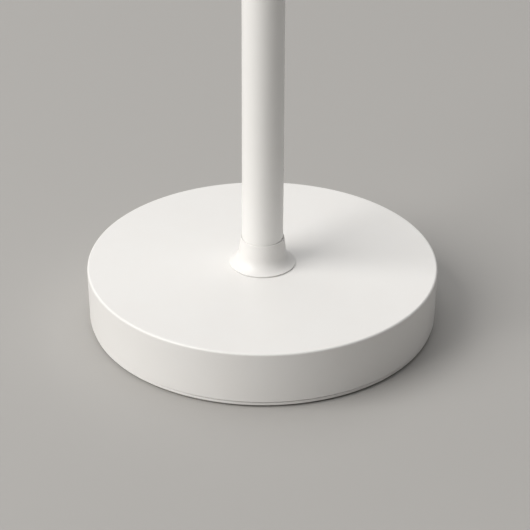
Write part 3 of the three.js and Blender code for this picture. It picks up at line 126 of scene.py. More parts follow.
class Shape:
    """A closed mesh in the making, in millimetres, worked with bmesh operators."""

    def __init__(self) -> None:
        """Starts with no faces."""
        self.mesh = bmesh.new()

    @staticmethod
    def turned(outline: Iterable[Corner], steps: int = 96) -> "Shape":
        """Spins a closed outline about Z.

        Args:
            outline: Corners of (radius, height) or (radius, height, rounding), in order.
            steps: Faces round the axis.

        Returns:
            The solid of revolution.
        """
        shape = Shape()
        corners = list(outline)
        verts = [shape.mesh.verts.new((corner[0], 0, corner[1])) for corner in corners]
        for first, second in zip(verts, verts[1:] + verts[:1]):
            if first.co.x > 0 or second.co.x > 0:
                shape.mesh.edges.new((first, second))
        for vert, corner in zip(verts, corners):
            if len(corner) > 2 and corner[2]:
                shape.bevel([vert], corner[2], ROUND_STEPS, "VERTICES")
        bmesh.ops.spin(
            shape.mesh,
            geom=shape.mesh.verts[:] + shape.mesh.edges[:],
            cent=(0, 0, 0),
            axis=(0, 0, 1),
            angle=2 * math.pi,
            steps=steps,
            use_merge=True,
        )
        return shape.closed()

    @staticmethod
    def tube(
        inner: float, outer: float, start: float, end: float, edges: tuple[float, float], steps: int
    ) -> "Shape":
        """A tube about Z, or a disc where its inner radius is 0.

        Args:
            inner: Its inner radius.
            outer: Its outer radius.
            start: Its lower end.
            end: Its upper end.
            edges: The rounding of its outer rims, lower and upper.
            steps: Faces round the axis.

        Returns:
            The tube.
        """
        rims = [(outer, start, edges[0]), (outer, end, edges[1])]
        return Shape.turned([(inner, start), *rims, (inner, end)], steps)

    @staticmethod
    def block(low: Point, high: Point) -> "Shape":
        """A box between two corners."""
        shape = Shape()
        size = Vector(high) - Vector(low)
        middle = (Vector(high) + Vector(low)) / 2
        placing = Matrix.Translation(middle) @ Matrix.Diagonal((*size, 1))
        bmesh.ops.create_cube(shape.mesh, size=1, matrix=placing)
        return shape

    @staticmethod
    def rod(
        radius: float,
        start: float,
        end: float,
        facing: Facing = Facing.UP,
        steps: int = 48,
    ) -> "Shape":
        """A cylinder along a line through the origin.

        Args:
            radius: Its radius.
            start: Where it starts along the line.
            end: Where it ends along the line.
            facing: The direction of the line.
            steps: Its sides.

        Returns:
            The rod.
        """
        shape = Shape()
        placing = facing.turn @ Matrix.Translation((0, 0, (start + end) / 2))
        bmesh.ops.create_cone(
            shape.mesh,
            cap_ends=True,
            segments=steps,
            radius1=radius,
            radius2=radius,
            depth=end - start,
            matrix=placing,
        )
        return shape

    @staticmethod
    def slab(width: float, height: float, corner: float, thickness: float, steps: int = 8) -> "Shape":
        """A flat plate with round corners, facing -Y, with its front face at y 0.

        Args:
            width: Its size along X.
            height: Its size along Z.
            corner: The radius of its corners.
            thickness: Its size along Y.
            steps: Faces round each corner.

        Returns:
            The plate, centred on x 0 and z 0.
        """
        shape = Shape()
        placing = Matrix.Rotation(math.pi / 2, 4, "X") @ Matrix.Diagonal((width, height, 1, 1))
        bmesh.ops.create_grid(shape.mesh, x_segments=1, y_segments=1, size=0.5, matrix=placing)
        shape.bevel(shape.mesh.verts[:], corner, steps, "VERTICES")
        pushed = bmesh.ops.extrude_face_region(shape.mesh, geom=shape.mesh.faces[:])["geom"]
        verts = [item for item in pushed if isinstance(item, bmesh.types.BMVert)]
        bmesh.ops.translate(shape.mesh, verts=verts, vec=(0, thickness, 0))
        return shape.closed()

    def bevel(self, geom: Sequence[Any], width: float, segments: int, affect: str) -> None:
        """Rounds edges or corners.

        Args:
            geom: The edges or vertices.
            width: How far the rounding reaches from each.
            segments: Faces across it.
            affect: EDGES or VERTICES.
        """
        bmesh.ops.bevel(
            self.mesh,
            geom=list(geom),
            offset=width,
            offset_type="OFFSET",
            segments=segments,
            profile=0.5,
            affect=affect,
            material=-1,
            clamp_overlap=True,
        )

    def soften_at(self, place: float, facing: Facing, width: float, segments: int = 5) -> "Shape":
        """Rounds the sharp edges that lie in one plane.

        Args:
            place: How far from the origin the plane lies.
            facing: The direction that the plane is across.
            width: How far the rounding reaches.
            segments: Faces across it.

        Returns:
            The same shape.
        """
        self.mesh.normal_update()
        edges = [
            edge
            for edge in self.mesh.edges
            if all(abs(vert.co.dot(facing.vector) - place) < NEAR for vert in edge.verts)
            and edge.is_manifold
            and edge.calc_face_angle() > SHARP
        ]
        self.bevel(edges, width, segments, "EDGES")
        return self

    def closed(self) -> "Shape":
        """Merges its doubles and turns its faces outwards."""
        bmesh.ops.remove_doubles(self.mesh, verts=self.mesh.verts[:], dist=MERGE)
        bmesh.ops.recalc_face_normals(self.mesh, faces=self.mesh.faces[:])
        return self

    def at(self, x: float = 0, y: float = 0, z: float = 0) -> "Shape":
        """Moves it."""
        bmesh.ops.translate(self.mesh, verts=self.mesh.verts[:], vec=(x, y, z))
        return self

    def pointed(self, facing: Facing) -> "Shape":
        """Points a shape made along +Z in a direction."""
        bmesh.ops.transform(self.mesh, verts=self.mesh.verts[:], matrix=facing.turn)
        return self

    def tilted(self, degrees: float) -> "Shape":
        """Turns it about X, its back upwards."""
        turn = Matrix.Rotation(math.radians(degrees), 4, "X")
        bmesh.ops.transform(self.mesh, verts=self.mesh.verts[:], matrix=turn)
        return self

    def copy(self) -> "Shape":
        """A shape like it."""
        other = Shape()
        other.mesh.free()
        other.mesh = self.mesh.copy()
        return other

    def beside(self, other: "Shape") -> "Shape":
        """Adds a shape that it doesn't need to be joined with, such as one more of a row."""
        data = bpy.data.meshes.new("beside")
        other.mesh.to_mesh(data)
        self.mesh.from_mesh(data)
        bpy.data.meshes.remove(data)
        return self

    def combined(self, other: "Shape", how: Combine) -> "Shape":
        """Joins it with another shape, cuts it by one, or keeps what both hold.

        Args:
            other: The second shape.
            how: What the second shape does.

        Returns:
            The same shape, with its new surface.
        """
        pair = [shape.to_object("combining") for shape in (self, other)]
        modifier = pair[0].modifiers.new("combine", "BOOLEAN")
        modifier.operation = how.value
        modifier.solver = "EXACT"
        modifier.object = pair[1]
        graph = bpy.context.evaluated_depsgraph_get()
        result = bpy.data.meshes.new_from_object(pair[0].evaluated_get(graph))
        self.mesh.clear()
        self.mesh.from_mesh(result)
        meshes = [made.data for made in pair] + [result]
        for made in pair:
            bpy.data.objects.remove(made)
        for data in meshes:
            bpy.data.meshes.remove(data)
        bmesh.ops.dissolve_degenerate(self.mesh, dist=MERGE, edges=self.mesh.edges[:])
        return self

    def join(self, other: "Shape") -> "Shape":
        """Makes one solid of it and another."""
        return self.combined(other, Combine.JOIN)

    def cut(self, *others: "Shape") -> "Shape":
        """Cuts it by each of the others."""
        for other in others:
            self.combined(other, Combine.CUT)
        return self

    def keep(self, other: "Shape") -> "Shape":
        """Keeps what lies inside another shape."""
        return self.combined(other, Combine.KEEP)

    def to_object(self, name: str) -> bpy.types.Object:
        """An object in the scene with this mesh, still in millimetres."""
        data = bpy.data.meshes.new(name)
        self.mesh.to_mesh(data)
        made = bpy.data.objects.new(name, data)
        bpy.context.scene.collection.objects.link(made)
        return made


def arc(centre: Corner, radii: Corner, start: float, end: float, steps: int) -> list[Corner]:
    """Points of an elliptical arc, for an outline.

    Args:
        centre: Its centre, as radius and height.
        radii: Its half-widths across and up.
        start: The angle it starts at, in degrees.
        end: The angle it ends at.
        steps: Stretches between points.

    Returns:
        The points, the first and the last among them.
    """
    angles = [math.radians(start + (end - start) * i / steps) for i in range(steps + 1)]
    return [(centre[0] + radii[0] * math.cos(a), centre[1] + radii[1] * math.sin(a)) for a in angles]


# ---------------------------------------------------------------------------------------------
# Finishes


def linear(hex_colour: str) -> tuple[float, float, float, float]:
    """An sRGB colour such as "f4f2ee" in the linear values that shaders take."""
    channels = [int(hex_colour[i : i + 2], 16) / 255 for i in (0, 2, 4)]
    curve = [c / 12.92 if c <= 0.04045 else ((c + 0.055) / 1.055) ** 2.4 for c in channels]
    return (*curve, 1.0)


def add_node(
    tree: bpy.types.NodeTree, kind: str, links: dict[str, Any] | None = None, **settings: Any
) -> bpy.types.Node:
    """Adds a shader node.

    Args:
        tree: The material's node tree.
        kind: The node's type.
        links: Sockets to link, by input name.
        **settings: Input values or node properties, by name, with _ for a space.

    Returns:
        The node.
    """
    node = tree.nodes.new(kind)
    for name, value in settings.items():
        socket = node.inputs.get(name.replace("_", " "))
        if socket is not None:
            socket.default_value = value
        else:
            setattr(node, name, value)
    for name, source in (links or {}).items():
        tree.links.new(source, node.inputs[name])
    return node


@dataclass(frozen=True)
class Finish:
    """A surface with a fine grain, a faint drift of colour and a drift of gloss.

    Pattern sizes are in millimetres on the object.
    """

    name: str
    slot: str
    colour: str
    shade: str  # the colour that it drifts to
    roughness: float
    gloss_drift: float = 0.04  # how far the roughness swings
    drift_mm: float = 22.0  # size of the drifts of colour and gloss
    grain_mm: float = 0.5  # spacing of the grain
    grain_height_mm: float = 0.004
    metallic: float = 0.0
    ior: float = 1.5
    coat: float = 0.0
    coat_roughness: float = 0.1
    alpha: float = 1.0
    glow: str | None = None
    glow_strength: float = 0.0

    @staticmethod
    def scaled(tree: bpy.types.NodeTree) -> bpy.types.NodeSocket:
        """The place on the object in millimetres, as a socket."""
        place = add_node(tree, "ShaderNodeTexCoord")
        scale = (1 / MM,) * 3
        mapping = add_node(tree, "ShaderNodeMapping", {"Vector": place.outputs["Object"]}, Scale=scale)
        return mapping.outputs["Vector"]

    @staticmethod
    def noise(
        tree: bpy.types.NodeTree, place: bpy.types.NodeSocket, size_mm: float, detail: float, rough: float
    ) -> bpy.types.NodeSocket:
        """A noise pattern from 0 to 1, as a socket.

        Args:
            tree: The material's node tree.
            place: The place on the object, in millimetres.
            size_mm: The pattern's size.
            detail: How many finer layers it has.
            rough: How strong the finer layers are.

        Returns:
            The socket.
        """
        kind, links = "ShaderNodeTexNoise", {"Vector": place}
        made = add_node(tree, kind, links, Scale=1 / size_mm, Detail=detail, Roughness=rough)
        return made.outputs["Fac"]

    def paint(self, tree: bpy.types.NodeTree, place: bpy.types.NodeSocket) -> bpy.types.NodeSocket:
        """The surface's colour, as a socket."""
        drift = self.noise(tree, place, self.drift_mm, 3.0, 0.6)
        ramp = add_node(tree, "ShaderNodeValToRGB", {"Fac": drift})
        for element, colour in zip(ramp.color_ramp.elements, (self.colour, self.shade)):
            element.color = linear(colour)
        return ramp.outputs["Color"]

    def gloss(self, tree: bpy.types.NodeTree, place: bpy.types.NodeSocket) -> bpy.types.NodeSocket:
        """The surface's roughness, as a socket."""
        drift = self.noise(tree, place, self.drift_mm * GLOSS_SPREAD, 4.0, 0.65)
        spread = add_node(
            tree,
            "ShaderNodeMapRange",
            {"Value": drift},
            From_Min=NOISE_LOW,
            From_Max=NOISE_HIGH,
            To_Min=self.roughness - self.gloss_drift,
            To_Max=self.roughness + self.gloss_drift,
        )
        return spread.outputs["Result"]

    def material(self) -> bpy.types.Material:
        """The finished material, made once."""
        found = bpy.data.materials.get(self.name)
        if found:
            return found
        made = bpy.data.materials.new(self.name)
        made.use_nodes = True
        tree = made.node_tree
        tree.nodes.clear()
        place = self.scaled(tree)
        grain = self.noise(tree, place, self.grain_mm, 2.0, 0.5)
        bump = add_node(tree, "ShaderNodeBump", {"Height": grain}, Strength=1.0)
        bump.inputs["Distance"].default_value = self.grain_height_mm * MM
        shader = add_node(
            tree,
            "ShaderNodeBsdfPrincipled",
            {
                "Base Color": self.paint(tree, place),
                "Roughness": self.gloss(tree, place),
                "Normal": bump.outputs["Normal"],
            },
            Metallic=self.metallic,
            IOR=self.ior,
            Coat_Weight=self.coat,
            Coat_Roughness=self.coat_roughness,
            Alpha=self.alpha,
        )
        if self.glow:
            shader.inputs["Emission Color"].default_value = linear(self.glow)
            shader.inputs["Emission Strength"].default_value = self.glow_strength
        add_node(tree, "ShaderNodeOutputMaterial", {"Surface": shader.outputs["BSDF"]})
        return made


# ABS moulded against a spark-eroded tool: satin, so its highlights are wide and soft. The real
# grain is 0.1 mm across, too fine to show, so it is drawn at 0.5 mm.
WHITE_SHELL = Finish("white_moulded_abs", "white_shell", "f3f2f0", "f1efec", 0.4)
# Powder baked on steel: the same white, a little glossier, with an orange peel of about 1.3 mm
# that breaks up the long highlight on a tube.
WHITE_PAINT = Finish(
    "white_powder_coat", "white_paint", "f8f7f5", "f6f5f2", 0.36, grain_mm=1.3, grain_height_mm=0.006
)
# The same moulding in dark grey with a coarser tool texture, so that the panel looks matt.
GREY_PLASTIC = Finish(
    "grey_moulded_abs", "grey_plastic", "45474a", "3e4043", 0.5, grain_mm=0.35, grain_height_mm=0.01
)
# Turned or moulded acetal: milky, smooth and slightly waxy, with faint flow marks 8 mm apart.
ACETAL = Finish(
    "natural_acetal", "acetal", "e6e4dd", "dedbd2", 0.32, drift_mm=8, grain_mm=0.8, grain_height_mm=0.003
)
# Moulded rubber: almost no highlight, and a dusty bloom in patches.
RUBBER = Finish(
    "moulded_rubber", "rubber", "262627", "303031", 0.82, drift_mm=5, grain_mm=0.3, grain_height_mm=0.02
)
# Zinc plated on steel, with a faintly yellow passivation in blotches of some millimetres.
ZINC = Finish(
    "bright_zinc_plate", "steel", "c9cbcc", "b9b7a6", 0.3, 0.08, drift_mm=4, grain_mm=0.25,
    grain_height_mm=0.004, metallic=1.0,
)
# Iron cast in sand and primed: sand grains of 1 mm print through the dull primer.
CAST_IRON = Finish(
    "primed_cast_iron", "cast_iron", "4a4a4c", "3a393a", 0.7, 0.1, drift_mm=8, grain_mm=1.1,
    grain_height_mm=0.12, metallic=0.4,
)
# Lacquer over glass cloth: glossy green, and the weave of 0.6 mm shows through.
SOLDER_MASK = Finish(
    "green_solder_mask", "circuit_board", "1f6a41", "185636", 0.34, drift_mm=3, grain_mm=0.6,
    grain_height_mm=0.01, coat=0.4,
)
# Cast acrylic, polished: nearly black, with sharp reflections that bend a little over 20 mm, and
# clear enough for lit figures behind it to show.
SMOKED_ACRYLIC = Finish(
    "smoked_acrylic", "smoked_window", "101416", "0d1113", 0.07, 0.015, drift_mm=40, grain_mm=20,
    grain_height_mm=0.002, alpha=0.78,
)
# The tube's glass in front of its dark grid.
TUBE_GLASS = Finish(
    "dark_tube_glass", "display_glass", "0b1413", "08100f", 0.1, 0.02, grain_mm=0.5, grain_height_mm=0.001
)
# Foam with cut cells of 0.5 mm: black, and it gives back no highlight.
FOAM = Finish("closed_cell_foam", "foam", "202021", "19191a", 0.95, 0.03, grain_mm=0.5, grain_height_mm=0.1)
# Extruded vinyl: semi-matt, with a slight ripple along it.
SHEATH = Finish(
    "soft_vinyl_sheath", "cable_sheath", "5b5d60", "535558", 0.5, grain_mm=0.7, grain_height_mm=0.01
)
# Gold flashed on springy contacts: small bright warm glints.
GOLD = Finish(
    "gold_plate", "steel", "e8c46a", "d9b055", 0.25, drift_mm=2, grain_mm=0.2, grain_height_mm=0.002,
    metallic=1.0,
)
# Phosphor powder on its anodes, unlit: barely lighter than the glass, and quite matt.
UNLIT_PHOSPHOR = Finish("unlit_phosphor", "display_glass", "17201e", "141c1a", 0.7, grain_mm=0.3)
# The same powder lit: the blue-green of a vacuum fluorescent tube.
PHOSPHOR = Finish(
    "lit_phosphor", "display_glass", "7fe8d2", "74dcc6", 0.6, grain_mm=0.3, grain_height_mm=0.005,
    glow="62ffd8", glow_strength=16.0,
)


# ---------------------------------------------------------------------------------------------
# Placing


def publish(
    name: str,
    shape: Shape,
    finish: Finish,
    body: str,
    nodes: Sequence[str] = (),
    edge: float = 0.0,
    smooth: float = 35.0,
) -> bpy.types.Object:
    """Makes a shape a piece of the object.

    Args:
        name: The piece's name.
        shape: Its shape, in millimetres.
        finish: What it is made of.
        body: The body of the frame that it rides on.
        nodes: The nodes of the frame that it stands for.
        edge: Width of the small rounding that its sharp edges get, in millimetres.
        smooth: Faces that meet at less than this many degrees shade as one surface.

    Returns:
        The piece.
    """
    bmesh.ops.scale(shape.mesh, verts=shape.mesh.verts[:], vec=(MM, MM, MM))
    piece = shape.to_object(name)
    shape.mesh.free()
    piece.data.materials.append(finish.material())
    piece.data.shade_smooth()
    if edge:
        bevel = piece.modifiers.new("edges", "BEVEL")
        bevel.width = edge * MM
        bevel.segments = 3
        bevel.limit_method = "ANGLE"
        bevel.angle_limit = math.radians(smooth)
        bevel.harden_normals = False
    else:
        piece.data.set_sharp_from_angle(angle=math.radians(smooth))
    normals = piece.modifiers.new("normals", "WEIGHTED_NORMAL")
    normals.keep_sharp = True
    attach(piece, body)
    if nodes:
        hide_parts(*nodes)
    LOG.info("%s: %d faces, on %s", name, len(piece.data.polygons), body)
    return piece


@dataclass
class Screws:
    """The pan-head screws with cross slots, one pattern for the whole object."""

    shank: float = 1.4
    head: float = 2.6
    head_height: float = 1.4
    head_edge: float = 0.45
    slot_width: float = 0.8
    slot_length: float = 2.8
    slot_depth: float = 0.7
    socket_depth: float = 1.8

    def build(self) -> None:
        """Makes every screw, each at its node's place."""
        for i in (1, 2, 3):
            self.screw(f"base_screw_{i}", Facing.DOWN, "base")
        for i in (1, 2):
            self.screw(f"board_screw_{i}", Facing.UP, "base")
            self.screw(f"module_screw_{i}", Facing.BACK, "head")
            self.screw(f"controller_screw_{i}", Facing.FRONT, "head")
        for i in (1, 2, 3, 4):
            self.screw(f"case_screw_{i}", Facing.BACK, "head")
        self.grub("pole_grub_screw", "base")
        self.grub("neck_grub_screw", "neck")

    def screw(self, node: str, facing: Facing, body: str) -> None:
        """Makes one screw.

        Args:
            node: The node that it stands for.
            facing: Where its head points.
            body: The body that it rides on.
        """
        box = Box(node)
        length = abs(box.size.dot(facing.vector))
        made = Shape.turned(
            [
                (0, -length),
                (self.shank, -length, 0.4),
                (self.shank, -self.head_height),
                (self.head, -self.head_height, 0.15),
                (self.head, -self.head_edge, 0.3),
                (0, 0),
            ],
            steps=32,
        )
        half, width = self.slot_length / 2, self.slot_width / 2
        across = Shape.block((-half, -width, -self.slot_depth), (half, width, THROUGH))
        along = Shape.block((-width, -half, -self.slot_depth), (width, half, THROUGH))
        made.cut(across.join(along)).pointed(facing)
        top = box.middle + facing.vector * (length / 2)
        publish(f"{node}_pan_head", made.at(*top), ZINC, body, [node])

    @classmethod
    def hole(cls, seat: float, out: float, start: float, end: float, facing: Facing) -> Shape:
        """The room that a screw takes: its shank's hole and its head's seat.

        Args:
            seat: Where the seat starts along the screw's line.
            out: Where the seat ends.
            start: Where the shank's hole starts.
            end: Where the shank's hole ends.
            facing: The direction of the line.

        Returns:
            The room, on a line through the origin.
        """
        room = Shape.rod(cls.head + GAP, seat, out, facing, steps=32)
        return room.join(Shape.rod(cls.shank + GAP, start, end, facing, steps=24))

    def grub(self, node: str, body: str) -> None:
        """Makes one headless screw with a hexagonal socket, facing back."""
        box = Box(node)
        radius = box.size.x / 2
        face = box.size.y
        point, cone = radius * 0.6, radius * 0.5
        outline = [(0, 0), (point, 0), (radius, cone), (radius, face, 0.2), (0, face)]
        made = Shape.turned(outline, 32)
        made.cut(Shape.rod(radius / 2, face - self.socket_depth, face + THROUGH, steps=6))
        made.pointed(Facing.BACK)
        publish(f"{node}_hex_socket", made.at(0, box.low.y, box.middle.z), ZINC, body, [node])


@dataclass
class Base:
    """The weighted base: casing, floor plate and feet."""

    wall: float = 2.6
    roof: float = 3.0
    top_rounding: float = 1.2
    foot_rounding: float = 0.35
    draft: float = 0.5
    plate_rounding: float = 1.2
    plate_lip: tuple[float, float] = (2.0, 2.4)  # its width and height
    hub_radius: float = 21.0
    hub_depth: float = 4.0
    hub_bore: float = 8.0
    mouth_rounding: float = 1.6
    mouth_margin: float = 0.8  # recess above and below the sockets
    panel_rail: float = 1.5
    frame_width: float = 4.0
    frame_depth: float = 2.0  # in front of the panel
    hollow_end: float = 1.0  # from the panel's face
    plate_seam: float = 0.5  # between casing and floor plate
    bay_margin: float = 1.0
    foot_pocket: float = 0.9
    sole_ring: tuple[float, ...] = (0.45, 0.5, 0.62, 0.67)  # in foot radii
    sole_depth: float = 0.25

    def build(self) -> None:
        """Makes every piece of the base."""
        self.casing()
        self.floor_plate()
        self.feet()

    def casing(self) -> None:
        """The white casing, with the recess for the sockets at its back."""
        box, panel, socket = Box("base_shell"), Box("port_panel"), Box("serial_jack")
        radius, top, foot = box.radius, box.high.z, box.low.z
        ceiling = top - self.roof
        shell = Shape.turned(
            [
                (self.hub_bore, top),
                (radius, top, self.top_rounding),
                (radius - self.draft, foot, self.foot_rounding),
                (radius - self.draft - self.wall, foot),
                (radius - self.wall, ceiling),
                (self.hub_radius, ceiling),
                (self.hub_radius, ceiling - self.hub_depth),
                (self.hub_bore, ceiling - self.hub_depth),
            ],
            steps=192,
        )
        half = panel.size.x / 2
        mouth_half = half - self.panel_rail
        low, high = socket.low.z - self.mouth_margin, socket.high.z + self.mouth_margin
        jamb = Shape.block(
            (-half - self.frame_width, panel.low.y - self.frame_depth, foot),
            (half + self.frame_width, radius, top - self.roof / 2),
        ).keep(Shape.rod(radius - self.wall / 2 - self.draft, 0, top, steps=192))
        behind = Shape.block(
            (-mouth_half, 0, -THROUGH), (mouth_half, panel.high.y - self.hollow_end, ceiling)
        )
        gap = Vector((GAP,) * 3)
        groove = Shape.block(panel.low - gap - Vector((0, 0, panel.low.z)), panel.high + gap)
        mouth = Shape.slab(2 * mouth_half, high - low, self.mouth_rounding, radius)
        mouth.at(y=panel.low.y, z=(low + high) / 2)
        shell.join(jamb.cut(behind)).cut(groove, mouth)
        publish("base_casing", shell, WHITE_SHELL, "base", ["base_shell"], smooth=30)

    def floor_plate(self) -> None:
        """The plate that closes the base from below."""
        box, shell = Box("bottom_plate"), Box("base_shell")
        radius = box.radius
        top = shell.low.z - self.plate_seam
        lip = shell.radius - self.draft - self.wall - GAP
        lip_width, lip_height = self.plate_lip
        plate = Shape.turned(
            [
                (0, box.low.z),
                (radius, box.low.z, self.plate_rounding),
                (radius, top, 0.3),
                (lip, top),
                (lip, top + lip_height),
                (lip - lip_width, top + lip_height),
                (lip - lip_width, top),
                (0, top),
            ],
            steps=192,
        )
        bay = Box("port_panel").size.x / 2 + self.frame_width + self.bay_margin
        plate.cut(Shape.block((-bay, 0, top), (bay, radius, top + lip_height + THROUGH)))
        for i in (1, 2, 3, 4):
            foot = Box(f"foot_pad_{i}")
            pocket = Shape.rod(foot.size.x / 2 + GAP, -THROUGH, box.low.z + self.foot_pocket)
            plate.cut(pocket.at(foot.middle.x, foot.middle.y))
        for i in (1, 2, 3):
            screw = Box(f"base_screw_{i}")
            seat = screw.low.z + Screws.head_height + GAP
            hole = Screws.hole(-THROUGH, seat, 0, top + THROUGH, Facing.UP)
            plate.cut(hole.at(screw.middle.x, screw.middle.y))
        publish("base_floor_plate", plate, WHITE_PAINT, "base", ["bottom_plate"], smooth=30)

    def feet(self) -> None:
        """Four rubber feet with a ring moulded in the sole."""
        for i in (1, 2, 3, 4):
            box = Box(f"foot_pad_{i}")
            radius, top = box.size.x / 2, box.high.z
            heights = (0, self.sole_depth, self.sole_depth, 0)
            sole = [(radius * share, height) for share, height in zip(self.sole_ring, heights)]
            foot = Shape.turned([(0, 0), *sole, (radius, 0, 0.5), (radius, top, 0.2), (0, top)], 64)
            foot.at(box.middle.x, box.middle.y)
            publish(f"rubber_foot_{i}", foot, RUBBER, "base", [f"foot_pad_{i}"])


@dataclass
class Sockets:
    """The panel at the back of the base, with its sockets and the power button."""

    mouth: tuple[float, float, float] = (11.9, 7.4, 13.0)  # width, height and depth
    key: tuple[float, float] = (6.2, 1.6)  # width and height of the step for the latch
    contacts: int = 8
    contact_pitch: float = 1.02
    contact_radius: float = 0.22
    contact_short: float = 2.5  # how much shorter than the mouth is deep
    contact_inset: float = 0.4
    contact_tilt: float = -16.0  # degrees about X
    contact_drop: float = 3.4  # their inner ends below the mouth's roof
    bore: float = 3.1
    bore_depth: float = 9.5
    bore_sink: float = 0.3  # how far its contacts end from the panel's face
    sleeve: float = 0.35
    sleeve_play: float = 0.02
    pin: float = 1.0
    pin_tip: tuple[float, float] = (0.3, 0.5)  # its taper's length and rounding
    panel_edge: float = 0.3
    dish_depth: float = 0.45
    dish_margin: float = 0.6
    dish_step: float = 10.0  # degrees of its arc from point to point
    button_step: float = 0.5
    button_edge: float = 0.25
    button_root: float = 1.0  # how far inside the panel its wide part starts
    stem: float = 1.6
    chips: tuple[tuple[float, float, float, float, float], ...] = (
        (-10, 12, 8, 8, 1.4),  # left, from the board's front edge, width, depth, height
        (6, 13, 5, 6, 1.2),
        (-7, 1, 14, 4.4, 4),
    )
    cans: tuple[float, ...] = (-18, 16, 20.5)
    can_radius: float = 1.9
    can_height: float = 5.0
    can_edge: float = 0.4
    can_row: float = 20.0  # from the board's front edge

    def build(self) -> None:
        """Makes every piece of the socket row."""
        self.panel()
        self.serial_socket()
        self.power_socket()
        self.button()
        self.board_parts()

    @property
    def face(self) -> float:
        """Where the panel's face is along Y."""
        return Box("port_panel").high.y

    def panel(self) -> None:
        """The dark panel, with an opening for each socket and for the button."""
        box, button = Box("port_panel"), Box("power_button")
        panel = Shape.block(box.low, box.high)
        gap = Vector((GAP,) * 3)
        for node in ("serial_jack", "power_jack"):
            socket = Box(node)
            panel.cut(Shape.block(socket.low - gap, socket.high + gap))
        hole = Shape.rod(button.size.x / 2 + GAP, 0, box.high.y + THROUGH, Facing.BACK)
        panel.cut(hole.at(button.middle.x, 0, button.middle.z))
        publish("socket_panel", panel, GREY_PLASTIC, "base", ["port_panel"], edge=self.panel_edge)

    def serial_socket(self) -> None:
        """The modular socket, with its gold contacts."""
        box = Box("serial_jack")
        width, height, depth = self.mouth
        key_width, key_height = self.key
        low = box.low.z + (box.size.z - height + key_height) / 2
        x, back = box.middle.x, self.face - depth
        out = self.face + THROUGH
        mouth = Shape.block((x - width / 2, back, low), (x + width / 2, out, low + height))
        key = Shape.block(
            (x - key_width / 2, back, low - key_height), (x + key_width / 2, out, low + THROUGH)
        )
        body = Shape.block(box.low, box.high).cut(mouth.join(key))
        publish("serial_socket_body", body, GREY_PLASTIC, "base", ["serial_jack"], edge=0.2)
        wires = Shape()
        top = low + height
        first = x - self.contact_pitch * (self.contacts - 1) / 2
        for i in range(self.contacts):
            wire = Shape.rod(self.contact_radius, 0, depth - self.contact_short, Facing.BACK, steps=8)
            wire.tilted(self.contact_tilt)
            wire.at(first + self.contact_pitch * i, back + self.contact_inset, top - self.contact_drop)
            wires.beside(wire)
        publish("serial_socket_contacts", wires, GOLD, "base")

    def power_socket(self) -> None:
        """The barrel socket, with its sleeve and centre pin."""
        box = Box("power_jack")
        middle = box.middle
        start, end = self.face - self.bore_depth, self.face - self.bore_sink
        bore = Shape.rod(self.bore, start, self.face + THROUGH, Facing.BACK)
        body = Shape.block(box.low, box.high).cut(bore.at(middle.x, 0, middle.z))
        publish("power_socket_body", body, GREY_PLASTIC, "base", ["power_jack"], edge=0.3)
        inner, outer = self.bore - self.sleeve, self.bore - self.sleeve_play
        sleeve = Shape.turned([(inner, start), (outer, start), (outer, end), (inner, end, 0.1)], 48)
        taper, rounding = self.pin_tip
        tip = (self.pin, end - taper, rounding)
        pin = Shape.turned([(0, start), (self.pin, start), tip, (0, end)], 32)
        sleeve.beside(pin).pointed(Facing.BACK).at(middle.x, 0, middle.z)
        publish("power_socket_contacts", sleeve, ZINC, "base")

    def button(self) -> None:
        """The power button, with a dished face."""
        box = Box("power_button")
        radius = box.size.x / 2
        back, face = Box("port_panel").low.y - self.button_root, box.high.y
        rim = radius - self.button_step
        across = rim - self.dish_margin
        angles = [math.radians(self.dish_step * i) for i in range(10)]
        dish = [(across * math.cos(a), face - self.dish_depth * math.sin(a)) for a in angles]
        cap = Shape.turned(
            [
                (0, box.low.y),
                (self.stem, box.low.y, 0.3),
                (self.stem, back),
                (radius, back, 0.3),
                (radius, face - self.button_step, self.button_edge),
                (rim, face, self.button_edge),
                *dish,
            ],
            64,
        )
        cap.pointed(Facing.BACK).at(box.middle.x, 0, box.middle.z)
        publish("power_button_cap", cap, ACETAL, "button", ["power_button"])

    def board_parts(self) -> None:
        """Chips and capacitors on the socket board."""
        board = Box("socket_board")
        top, front = board.high.z, board.low.y
        chips, cans = Shape(), Shape()
        for left, back, width, depth, height in self.chips:
            low = Vector((left, front + back, top))
            chips.beside(Shape.block(low, low + Vector((width, depth, height))))
        publish("socket_board_chips", chips, GREY_PLASTIC, "base", edge=0.2)
        radius, lid = self.can_radius, top + self.can_height
        for x in self.cans:
            can = Shape.tube(0, radius, top, lid, (0, self.can_edge), 32)
            cans.beside(can.at(x, front + self.can_row))
        publish("socket_board_capacitors", cans, ZINC, "base")


